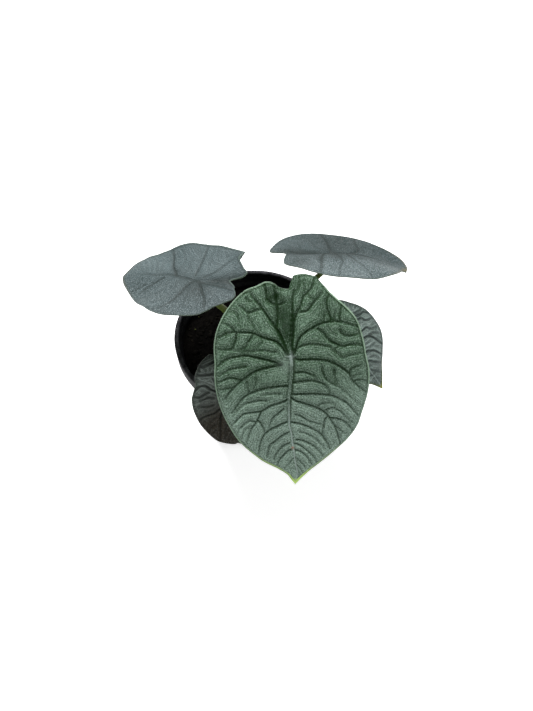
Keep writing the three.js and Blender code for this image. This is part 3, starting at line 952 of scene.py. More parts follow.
    def relief(self, p: Vector) -> tuple[float, float, dict[str, float]]:
        """Returns the relief over the broad surface at a point, and the marks for its colours.

        Args:
            p: The point in the blade's plane.

        Returns:
            The height and the thickness in millimetres, and the values of the mesh's named numbers.
        """
        leaf = self.leaf
        near = [veins.near(p) for veins in self.veins]
        spine, fade = self.spine.near(p)
        edge, _ = self.edge.near(p)

        def field(width: float) -> float:
            """Returns how strongly the nearest veins work at this width."""
            return max(depth * bell(distance, width) for distance, depth in near)

        # The midrib: a pale raised rib with a groove on each side of it, where a dark line of painted
        # shade lies, stronger on the right.
        place = min(max(p.x / leaf.length(), 0.0), 1.0)
        ahead = smooth(-4.0, -1.0, p.x)
        band = lerp(0.95, 0.42, smooth(0.1, 0.6, place))
        sided = leaf.midrib * ahead * fade * (1.0 - 0.75 * smooth(0.4, 0.7, place))
        beside = bell(spine - band, 0.32) * sided
        rib = leaf.midrib * ahead * (1.0 - smooth(band - 0.55, band, spine))
        # The swells between the veins, in two steps of steepness, and the fine line in each vein.
        broad = max(field(self.BROAD), 0.9 * leaf.midrib * ahead * bell(spine, 2.4))
        tight = max(field(self.TIGHT), leaf.midrib * ahead * bell(spine, 1.1))
        line = max(field(self.LINE), 0.75 * beside)
        distance, depth = max(near, key=lambda vein: vein[1] * bell(vein[0], 1.4))
        hub = max(strength * bell(math.hypot((p.x - x) / long, (p.y - y) / wide), 1.0)
                  for strength, x, y, long, wide in self.HUB)
        calm = smooth(1.0, 6.0, p.length) * smooth(0.2, 3.2, edge)
        at = Vector((p.x, p.y, leaf.seed * 9.0))
        lump = sum(size * noise.noise(at * per_mm) for size, per_mm in self.LUMPS)
        swell = self.RISES[0] * (1.0 - broad) + self.RISES[1] * (1.0 - tight)
        height = PUFF * leaf.quilt * swell * calm
        soft = 0.25 + 0.75 * min(leaf.quilt, 1.0)
        height += 0.10 * rib + soft * (lump * calm - 0.18 * line * smooth(0.5, 1.5, edge))
        height += 0.1 * bell(edge - 0.5, 0.45)
        dull = 0.4 - 0.28 * smooth(0.02, 0.14, place)
        marks = {
            "near": min(distance, self.FAR),
            "cut": depth * smooth(0.3, 1.6, edge) * (1.0 - 0.7 * hub * leaf.midrib),
            "puff": (1.0 - broad) * (1.0 - tight) * calm,
            # Painted shade in the valley and in the soft patches.
            "painted_shade": leaf.shadow(p),
            "spine": min(spine / band, 9.0),
            "sided": sided * (1.15 if p.y > leaf.sideways(place) else 0.5),
            "pale": leaf.midrib * ahead * lerp(dull, 0.8, smooth(0.32, 0.58, place)),
            "hub": hub * leaf.midrib,
            "rim": min(edge, self.FAR),
            "hem": leaf.hem(p),
            "lime": smooth(0.55, 1.0, place),
            "end": leaf.tip_colour * (1.0 - smooth(1.0, 4.8, (p - leaf.axis(1.0, Side.RIGHT)).length)),
            "spot": bell((p - Vector(leaf.spot)).length, 0.7) if leaf.spot else 0.0,
            "painted_lighting": leaf.strewn(leaf.painted_lighting_spread, p),
            "grit": leaf.strewn(leaf.grit, p),
        }
        # The underside: keels under the main ribs and low ridges under the strong veins.
        keel = bell(self.keel.near(p)[0], 1.4) * smooth(-0.9, 0.1, p.x / leaf.form.length)
        ridge = near[0][1] * bell(near[0][0], 0.8)
        thickness = lerp(self.EDGE_THICKNESS, BLADE, smooth(0.0, 2.5, edge)) + 0.9 * keel + 0.25 * ridge
        return height, thickness, marks

    def build(self) -> bpy.types.Object:
        """Returns the finished blade."""
        leaf = self.leaf
        bm = bmesh.new()
        places = self.spread()
        for side in Side:
            self.lay_half(bm, side, places)
        bmesh.ops.remove_doubles(bm, verts=bm.verts, dist=self.WELD)
        bmesh.ops.dissolve_degenerate(bm, dist=self.SLIVER, edges=bm.edges)
        layers = {name: bm.verts.layers.float.new(name) for name in self.MARKS}
        under = bm.verts.layers.float.new("under")
        depth = bm.verts.layers.float.new("depth")
        for vert in bm.verts:
            p = Vector((vert.co.x, vert.co.y))
            height, vert[depth], marks = self.relief(p)
            for name, value in marks.items():
                vert[layers[name]] = value
            vert.co.z = leaf.broad(p.x, p.y) + height
        grown = bmesh.ops.extrude_face_region(bm, geom=bm.faces[:], use_keep_orig=True)
        for vert in (v for v in grown["geom"] if isinstance(v, bmesh.types.BMVert)):
            vert.co.z -= vert[depth]
            vert[under] = 1.0
        bmesh.ops.recalc_face_normals(bm, faces=bm.faces[:])
        bm.verts.layers.float.remove(bm.verts.layers.float["depth"])
        bm.transform(leaf.matrix())
        piece = new_piece(f"{leaf.name}_blade", bm, leaf.finish.build())
        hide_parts(f"blade_{leaf.name}")
        return piece


def new_piece(name: str, bm: bmesh.types.BMesh, material: bpy.types.Material) -> bpy.types.Object:
    """Makes a smooth-shaded object that rides on the plant's one body.

    Args:
        name: The piece's name.
        bm: Its mesh in metres, which is freed.
        material: Its material.

    Returns:
        The object.
    """
    mesh = bpy.data.meshes.new(name)
    bm.to_mesh(mesh)
    bm.free()
    mesh.polygons.foreach_set("use_smooth", [True] * len(mesh.polygons))
    mesh.materials.append(material)
    piece = bpy.data.objects.new(name, mesh)
    bpy.context.scene.collection.objects.link(piece)
    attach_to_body(piece, ROOT)
    log.info("%s: %d faces", name, len(mesh.polygons))
    return piece


def turned(section: Sequence[Pair], sides: int, ends: Pair) -> bmesh.types.BMesh:
    """Turns a section round the pot's axis.

    Args:
        section: Its points, as radius and height in millimetres.
        sides: How many faces go round.
        ends: The heights of its first and last rings, which are closed.

    Returns:
        The new mesh, in metres.
    """
    bm = bmesh.new()
    chain = [bm.verts.new((r * MM, 0.0, z * MM)) for r, z in section]
    edges = [bm.edges.new(pair) for pair in zip(chain, chain[1:])]
    bmesh.ops.spin(bm, geom=chain + edges, cent=(0, 0, 0), axis=(0, 0, 1), steps=sides,
                   angle=2.0 * math.pi, use_merge=True)
    bmesh.ops.remove_doubles(bm, verts=bm.verts, dist=1e-7)
    for height in ends:
        ring = [e for e in bm.edges if e.is_boundary and abs(e.verts[0].co.z - height * MM) < 1e-6]
        bmesh.ops.contextual_create(bm, geom=ring)
    return bm


@dataclass
class Stalk:
    """A leaf stalk: a tapered tube, thick at its base, from the crown to its blade.

    Attributes:
        rings: How many faces it has along its length.
        sides: How many faces go round.
        ends: The places of its two end rings, a little past the ends of its middle line.
        run: How far past an end a place lies, in millimetres to a whole length.
        step: How far to each side the middle line's heading is read.
        paling: The place above which its skin is no longer paler.
        lean: How far it leans outwards as it rises from the crown.
        approach: How long it runs straight to the blade, as a share of its span.
        groove: The depth of the groove on its upper side, as a share of its radius.
        flare: How much thicker it is at the blade, as a share of its radius.
    """

    leaf: Leaf
    finish: StalkFinish
    rings: int = 64
    sides: int = 28
    ends: Pair = (-0.004, 1.006)
    run: float = 60.0
    step: float = 0.01
    paling: float = 0.45
    lean: float = 0.12
    approach: float = 0.3
    groove: float = 0.10
    flare: float = 0.16

    def curve(self) -> Callable[[float], Vector]:
        """Returns the stalk's middle line, in millimetres, for 0 to 1."""
        leaf = self.leaf
        turn = math.radians(leaf.stalk_turn)
        out = Vector((math.cos(turn), math.sin(turn), 0.0))
        start = out * STALK_CIRCLE
        start.z = CROWN_TOP + CLEARANCE
        end = Vector(leaf.attach) - leaf.normal() * (BLADE + CLEARANCE)
        span = (end - start).length
        lift = Vector((self.lean * out.x, self.lean * out.y, 1.0)).normalized()
        first = start + lift * (leaf.stalk_rise * span)
        second = end - leaf.normal() * (self.approach * span)

        def point(t: float) -> Vector:
            """Returns the middle line's point at t."""
            s = 1.0 - t
            return start * s ** 3 + first * (3 * s * s * t) + second * (3 * s * t * t) + end * t ** 3

        return point

    def radius(self, t: float, around: float) -> float:
        """Returns the stalk's radius at a place along and around it."""
        leaf = self.leaf
        radius = lerp(leaf.stalk_base, leaf.stalk_top, smooth(0.0, 0.6, t))
        groove = self.groove * bell(around, 0.5) * smooth(0.05, 0.3, t)
        flare = self.flare * smooth(0.93, 1.0, t)
        return radius * (1.0 - groove + flare)

    def build(self) -> bpy.types.Object:
        """Returns the finished stalk."""
        curve = self.curve()
        bm = bmesh.new()
        low = bm.verts.layers.float.new("low")
        made = bmesh.ops.create_circle(bm, cap_ends=True, segments=self.sides, radius=1.0)
        ring = list(made["verts"])
        turn = math.radians(self.leaf.stalk_turn)
        side = Vector((-math.sin(turn), math.cos(turn), 0.0))
        places = [self.ends[0], *(k / self.rings for k in range(self.rings + 1)), self.ends[1]]
        for k, t in enumerate(places):
            if k:
                edges = [e for e in bm.edges if e.verts[0] in ring and e.verts[1] in ring]
                grown = bmesh.ops.extrude_edge_only(bm, edges=edges)
                fresh = [v for v in grown["geom"] if isinstance(v, bmesh.types.BMVert)]
                order = {v: min(fresh, key=lambda f, v=v: (f.co - v.co).length) for v in ring}
                ring = [order[v] for v in ring]
            at = min(max(t, 0.0), 1.0)
            middle = curve(at)
            ahead = (curve(min(at + self.step, 1.0)) - curve(max(at - self.step, 0.0))).normalized()
            across = (side - ahead * side.dot(ahead)).normalized()
            up = across.cross(ahead)
            middle = middle + ahead * (t - at) * self.run
            for n, vert in enumerate(ring):
                angle = 2.0 * math.pi * n / len(ring)
                around = math.atan2(math.sin(angle - math.pi / 2), math.cos(angle - math.pi / 2))
                r = self.radius(at, around)
                vert.co = (middle + across * (r * math.cos(angle)) + up * (r * math.sin(angle))) * MM
                vert[low] = 1.0 - smooth(0.0, self.paling, at)
        bmesh.ops.contextual_create(bm, geom=ring)
        bmesh.ops.recalc_face_normals(bm, faces=bm.faces[:])
        piece = new_piece(f"{self.leaf.name}_stalk", bm, self.finish.build())
        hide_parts(f"stalk_{self.leaf.name}")
        return piece


def body_radius(height: float) -> float:
    """Returns the pot's outer radius at a height, in millimetres."""
    return lerp(BASE_RADIUS, BODY_TOP_RADIUS, height / (POT_HEIGHT - LIP_HEIGHT))


@dataclass
class Pot:
    """The nursery pot: a thin tapered wall, a stepped lip band and a rolled rim.

    Attributes:
        sides: How many faces go round.
        middle: The radius of the flat disc in the middle of its floor, inside the drainage holes.
        drill_sides: How many faces go round a drainage hole.
    """

    finish: PotFinish
    sides: int = 144
    middle: float = DRAIN_CIRCLE - 10.0
    drill_sides: int = 40

    def profile(self) -> list[Pair]:
        """Returns the wall's section as radius and height, from the middle of the underside."""
        lip = POT_HEIGHT - LIP_HEIGHT
        outer = [
            (self.middle, 0.0), (BASE_RADIUS - 2.4, 0.0), (BASE_RADIUS - 1.5, 0.0),
            (BASE_RADIUS - 0.4, 0.5), (body_radius(1.5), 1.5), (body_radius(4.0), 4.0),
            (body_radius(lip * 0.5), lip * 0.5), (body_radius(lip - 1.6), lip - 1.6),
            (body_radius(lip - 1.2), lip - 1.2), (BODY_TOP_RADIUS + 0.9, lip - 0.7),
            (RIM_RADIUS - 1.2, lip), (RIM_RADIUS - 0.75, lip + 0.3), (RIM_RADIUS - 0.6, lip + 0.9),
            (RIM_RADIUS - 0.3, lip + 5.5), (RIM_RADIUS, POT_HEIGHT - 1.6), (RIM_RADIUS, POT_HEIGHT - 1.1),
            (RIM_RADIUS - 0.15, POT_HEIGHT - 0.6), (RIM_RADIUS - 0.5, POT_HEIGHT - 0.2),
            (RIM_RADIUS - 1.1, POT_HEIGHT),
        ]
        inner = [
            (RIM_RADIUS - RIM_WIDTH + 0.9, POT_HEIGHT), (RIM_RADIUS - RIM_WIDTH + 0.4, POT_HEIGHT - 0.25),
            (RIM_RADIUS - RIM_WIDTH, POT_HEIGHT - 0.9), (RIM_RADIUS - RIM_WIDTH + 0.25, POT_HEIGHT - 1.9),
            (RIM_RADIUS - RIM_WIDTH + 0.7, POT_HEIGHT - 2.6), (RIM_RADIUS - 2.15, POT_HEIGHT - 4.0),
            (RIM_RADIUS - 2.1, lip + 2.2), (RIM_RADIUS - 2.4, lip + 1.4),
            (body_radius(lip) - WALL, lip + 0.3), (body_radius(lip) - WALL - 0.2, lip - 0.8),
            (body_radius(lip * 0.5) - WALL, lip * 0.5), (body_radius(FLOOR) - WALL, FLOOR + 1.2),
            (body_radius(FLOOR) - WALL - 0.5, FLOOR + 0.3), (body_radius(FLOOR) - WALL - 1.4, FLOOR),
            (self.middle, FLOOR),
        ]
        return outer + inner

    def build(self) -> bpy.types.Object:
        """Returns the finished pot."""
        bm = turned(self.profile(), self.sides, (0.0, FLOOR))
        bmesh.ops.triangulate(bm, faces=[f for f in bm.faces if len(f.verts) > 4])
        bmesh.ops.recalc_face_normals(bm, faces=bm.faces[:])
        # The rim and the foot are rubbed pale.
        edge = bm.verts.layers.float.new("edge")
        for vert in bm.verts:
            radius = math.hypot(vert.co.x, vert.co.y) / MM
            top = smooth(POT_HEIGHT - 1.6, POT_HEIGHT - 0.2, vert.co.z / MM)
            low = 1.0 - smooth(0.0, 2.0, vert.co.z / MM)
            vert[edge] = top if radius > 45.0 else 0.5 * low
        piece = new_piece("nursery_pot", bm, self.finish.build())
        self.drill(piece)
        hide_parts("pot")
        return piece

    def drill(self, piece: bpy.types.Object) -> None:
        """Cuts the drainage holes through the pot's floor.

        Args:
            piece: The pot.
        """
        bm = bmesh.new()
        for k in range(DRAIN_COUNT):
            turn = 2.0 * math.pi * (k + 0.5) / DRAIN_COUNT
            at = Vector((math.cos(turn), math.sin(turn), 0.0)) * (DRAIN_CIRCLE * MM)
            bmesh.ops.create_cone(
                bm, cap_ends=True, segments=self.drill_sides, radius1=DRAIN_RADIUS * MM,
                radius2=DRAIN_RADIUS * MM, depth=5.0 * FLOOR * MM, matrix=Matrix.Translation(at))
        mesh = bpy.data.meshes.new("drill")
        bm.to_mesh(mesh)
        bm.free()
        tool = bpy.data.objects.new("drill", mesh)
        bpy.context.scene.collection.objects.link(tool)
        cut = piece.modifiers.new("drain", "BOOLEAN")
        cut.object = tool
        cut.operation = "DIFFERENCE"
        cut.solver = "EXACT"
        graph = bpy.context.evaluated_depsgraph_get()
        result = bpy.data.meshes.new_from_object(piece.evaluated_get(graph))
        piece.modifiers.clear()
        piece.data = result
        bpy.data.objects.remove(tool)
        result.polygons.foreach_set("use_smooth", [True] * len(result.polygons))


@dataclass
class PottingMix:
    """The crumbly mix, with bark chips and pale grains on it.

    Attributes:
        rings: How many faces its top has from the wall to the hole for the plant.
        sides: How many faces go round.
        seed: The start of the draw that places what lies on it.
        foot: The height of the bevel round its underside, in millimetres.
        bevel: How far that goes in.
        ledge: The height of a ring on the wall of the hole.
        chip_start: How near to the middle chips lie, in millimetres.
        chip_margin: How far they stay from the pot's wall.
        lumps: The height of each kind of lump on its top, in millimetres, and its noise's scale.
        crumb: The same for its crumbs, which all stand up.
        grit: The same for its finest grains.
        dish: How much lower its top is at the wall, and the radius from which it sinks.
    """

    soil: CrumbFinish
    bark: CrumbFinish
    perlite: CrumbFinish
    rings: int = 120
    sides: int = 300
    seed: int = 11
    foot: float = 3.0
    bevel: float = 1.6
    ledge: float = 70.0
    chip_start: float = 9.8
    chip_margin: float = 3.0
    lumps: tuple[Pair, ...] = ((0.9, 0.28), (0.7, 0.75))
    crumb: Pair = (0.45, 1.7)
    grit: Pair = (0.25, 3.1)
    dish: Pair = (1.2, 20.0)

    def reach(self, height: float) -> float:
        """Returns the mix's outer radius at a height, clear of the pot's wall."""
        return body_radius(height) - WALL - CLEARANCE

    def level(self, x: float, y: float) -> float:
        """Returns the mix's height at a place, in millimetres."""
        radius = math.hypot(x, y)
        edge = self.reach(SOIL_LEVEL - SOIL_SHOULDER)
        swell = 0.7 * math.sin(x / 7.0 + 1.0) * math.cos(y / 9.0 - 0.4)
        where = Vector((x, y, 3.0))
        lump = sum(size * noise.noise(where * scale) for size, scale in self.lumps)
        crumb = self.crumb[0] * abs(noise.noise(where * self.crumb[1]))
        crumb += self.grit[0] * noise.noise(where * self.grit[1])
        return SOIL_LEVEL + swell + lump + crumb - self.dish[0] * smooth(self.dish[1], edge, radius)

    def build(self) -> list[bpy.types.Object]:
        """Returns the mix and what lies on it."""
        low = FLOOR + CLEARANCE
        edge = self.reach(SOIL_LEVEL - SOIL_SHOULDER)
        wall = [(self.reach(low) - self.bevel, low), (self.reach(low + self.foot), low + self.foot),
                (edge, SOIL_LEVEL - SOIL_SHOULDER)]
        top = [(lerp(edge, HOLE_RADIUS, k / self.rings), SOIL_LEVEL) for k in range(self.rings + 1)]
        hole = [(HOLE_RADIUS, self.ledge), (HOLE_RADIUS, HOLE_FLOOR)]
        bm = turned(wall + top + hole, self.sides, (low, HOLE_FLOOR))
        for vert in bm.verts:
            if abs(vert.co.z - SOIL_LEVEL * MM) < 1e-6:
                x, y = vert.co.x / MM, vert.co.y / MM
                vert.co.z = self.level(x, y) * MM
        bmesh.ops.recalc_face_normals(bm, faces=bm.faces[:])
        mix = new_piece("potting_mix", bm, self.soil.build())
        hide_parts("soil")
        rng = random.Random(self.seed)
        chips = self.scatter(
            "bark_chips", self.bark, rng, count=420, sizes=(0.7, 2.3), flat=0.45, lift=0.0)
        grains = self.scatter(
            "pale_grains", self.perlite, rng, count=26, sizes=(0.6, 1.35), flat=0.85, lift=0.25)
        return [mix, chips, grains]

    def scatter(self, name: str, finish: CrumbFinish, rng: random.Random, count: int, sizes: Pair,
                flat: float, lift: float) -> bpy.types.Object:
        """Strews chips over the mix, half sunk in it.

        Args:
            name: The piece's name.
            finish: Its finish.
            rng: The draw that places them.
            count: How many there are.
            sizes: The least and the greatest half length, in millimetres.
            flat: How thick one is against its length.
            lift: How far its middle stands above the mix, against its size.

        Returns:
            The chips, as one object.
        """
        bm = bmesh.new()
        reach = body_radius(SOIL_LEVEL) - WALL - self.chip_margin
        for _ in range(count):
            radius = math.sqrt(rng.uniform(self.chip_start ** 2, reach ** 2))
            turn = rng.uniform(0.0, 2.0 * math.pi)
            x, y = radius * math.cos(turn), radius * math.sin(turn)
            size = lerp(*sizes, rng.random() ** 2)
            shape = (size * rng.uniform(0.8, 1.2), size * rng.uniform(0.45, 0.9), size * flat)
            place = Matrix.Translation(Vector((x, y, self.level(x, y) + lift * size)) * MM)
            heading = Matrix.Rotation(rng.uniform(0, math.pi), 4, "Z")
            spin = heading @ Matrix.Rotation(rng.gauss(0, 0.35), 4, "X")
            scale = Matrix.Diagonal((shape[0] * MM, shape[1] * MM, shape[2] * MM, 1.0))
            made = bmesh.ops.create_icosphere(bm, subdivisions=1, radius=1.0)
            for vert in made["verts"]:
                vert.co *= 1.0 + 0.35 * (rng.random() - 0.5)
            bmesh.ops.transform(bm, matrix=place @ spin @ scale, verts=made["verts"])
        piece = new_piece(name, bm, finish.build())
        return piece


@dataclass
class StemBase:
    """The rootstock: a short ringed stump in the mix, from which the stalks rise.

    Attributes:
        sides: How many faces go round.
        section: Its ringed side, as radius and height in millimetres.
    """

    finish: CrumbFinish
    sides: int = 72
    section: tuple[Pair, ...] = (
        (4.5, 50.3), (7.4, 54.0), (8.3, 60.0), (7.7, 63.0), (8.4, 67.0), (7.9, 70.0), (8.5, 74.0),
        (8.0, 77.0), (8.2, 78.2), (7.9, 78.8), (8.3, 79.6), (8.0, 80.1), (8.2, 80.8), (7.9, 81.4),
        (7.2, 81.8), (5.0, 81.9), (2.0, 82.0))

    def build(self) -> bpy.types.Object:
        """Returns the finished stem base."""
        bm = turned(self.section, self.sides, (self.section[0][1], self.section[-1][1]))
        bmesh.ops.recalc_face_normals(bm, faces=bm.faces[:])
        piece = new_piece("stem_base_ringed", bm, self.finish.build())
        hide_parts("stem_base")
        return piece


GREEN = LeafFinish(
    name="front_leaf_skin", base=(0.025, 0.063, 0.025), light=(0.134, 0.219, 0.149),
    vein=(0.002, 0.018, 0.0005), speck=(0.38, 0.52, 0.42), dust=(0.242, 0.326, 0.279),
    hem=(0.27, 0.39, 0.28), tip=(0.58, 0.82, 0.22), under=(0.15, 0.20, 0.13), grain=0.6, gloss=0.12,
    vein_core=0.16, vein_reach=0.5, halo_reach=1.15, shading=0.43, rippling=0.46)
GREY = LeafFinish(
    name="upper_leaf_skin", base=(0.018, 0.031, 0.032), light=(0.045, 0.067, 0.070),
    vein=(0.005, 0.012, 0.010), speck=(0.19, 0.235, 0.24), dust=(0.105, 0.145, 0.150),
    hem=(0.10, 0.14, 0.115), tip=(0.13, 0.11, 0.05), under=(0.12, 0.16, 0.11), grain=0.44,
    roughness=0.5, gloss=0.22, vein_reach=1.4, vein_depth=0.64, halo_reach=3.6, shading=0.38,
    mottling=0.65, creasing=0.3, pebbling=0.8, rippling=0.3)
# The right leaf's base and crown tones are painted lighter than the upper leaves' skin, partly as painted
# light on a leaf that faces away from the overhead lamp.
QUILT = LeafFinish(
    name="right_leaf_skin", base=(0.086, 0.128, 0.113), light=(0.44, 0.56, 0.51),
    vein=(0.005, 0.014, 0.010), speck=(0.47, 0.55, 0.53), dust=(0.15, 0.18, 0.17),
    hem=(0.13, 0.17, 0.14), tip=(0.22, 0.23, 0.05), under=(0.15, 0.19, 0.13), grain=0.45, halo_reach=1.2,
    vein_core=0.2, vein_reach=0.6, shading=0.34, rippling=0.5)
# The lower-left leaf's darker veins, specks and hem, and the dark brown dust tone spread over most of it,
# are painted shade where the front leaf shades it; the brown in that tone is a painted warm reflection.
DARK = LeafFinish(
    name="lower_leaf_skin", base=(0.086, 0.106, 0.094), light=(0.33, 0.39, 0.36),
    vein=(0.004, 0.006, 0.004), speck=(0.18, 0.20, 0.19), dust=(0.026, 0.017, 0.009),
    hem=(0.07, 0.085, 0.07), tip=(0.20, 0.19, 0.06), under=(0.11, 0.14, 0.10), grain=0.35, gloss=0.1,
    vein_core=0.14, vein_reach=0.52, rippling=0.6)
STALK_SKIN = StalkFinish(
    name="stalk_skin", base=(0.060, 0.086, 0.013), light=(0.16, 0.19, 0.04), mottle=(0.035, 0.03, 0.010))
BLACK_PLASTIC = PotFinish("black_plastic", base=(0.008, 0.008, 0.0095), dust=(0.12, 0.12, 0.13))
DARK_MIX = CrumbFinish("dark_mix", dark=(0.0006, 0.0005, 0.0004), light=(0.006, 0.005, 0.004))
BARK = CrumbFinish(
    "bark", dark=(0.0015, 0.0012, 0.001), light=(0.011, 0.009, 0.006), roughness=0.85, per_metre=500.0)
PERLITE = CrumbFinish(
    "perlite", dark=(0.035, 0.040, 0.012), light=(0.10, 0.11, 0.04), roughness=0.9, per_metre=700.0)
ROOTSTOCK = CrumbFinish(
    "rootstock_skin", dark=(0.05, 0.036, 0.020), light=(0.13, 0.10, 0.05), roughness=0.8, per_metre=300.0)

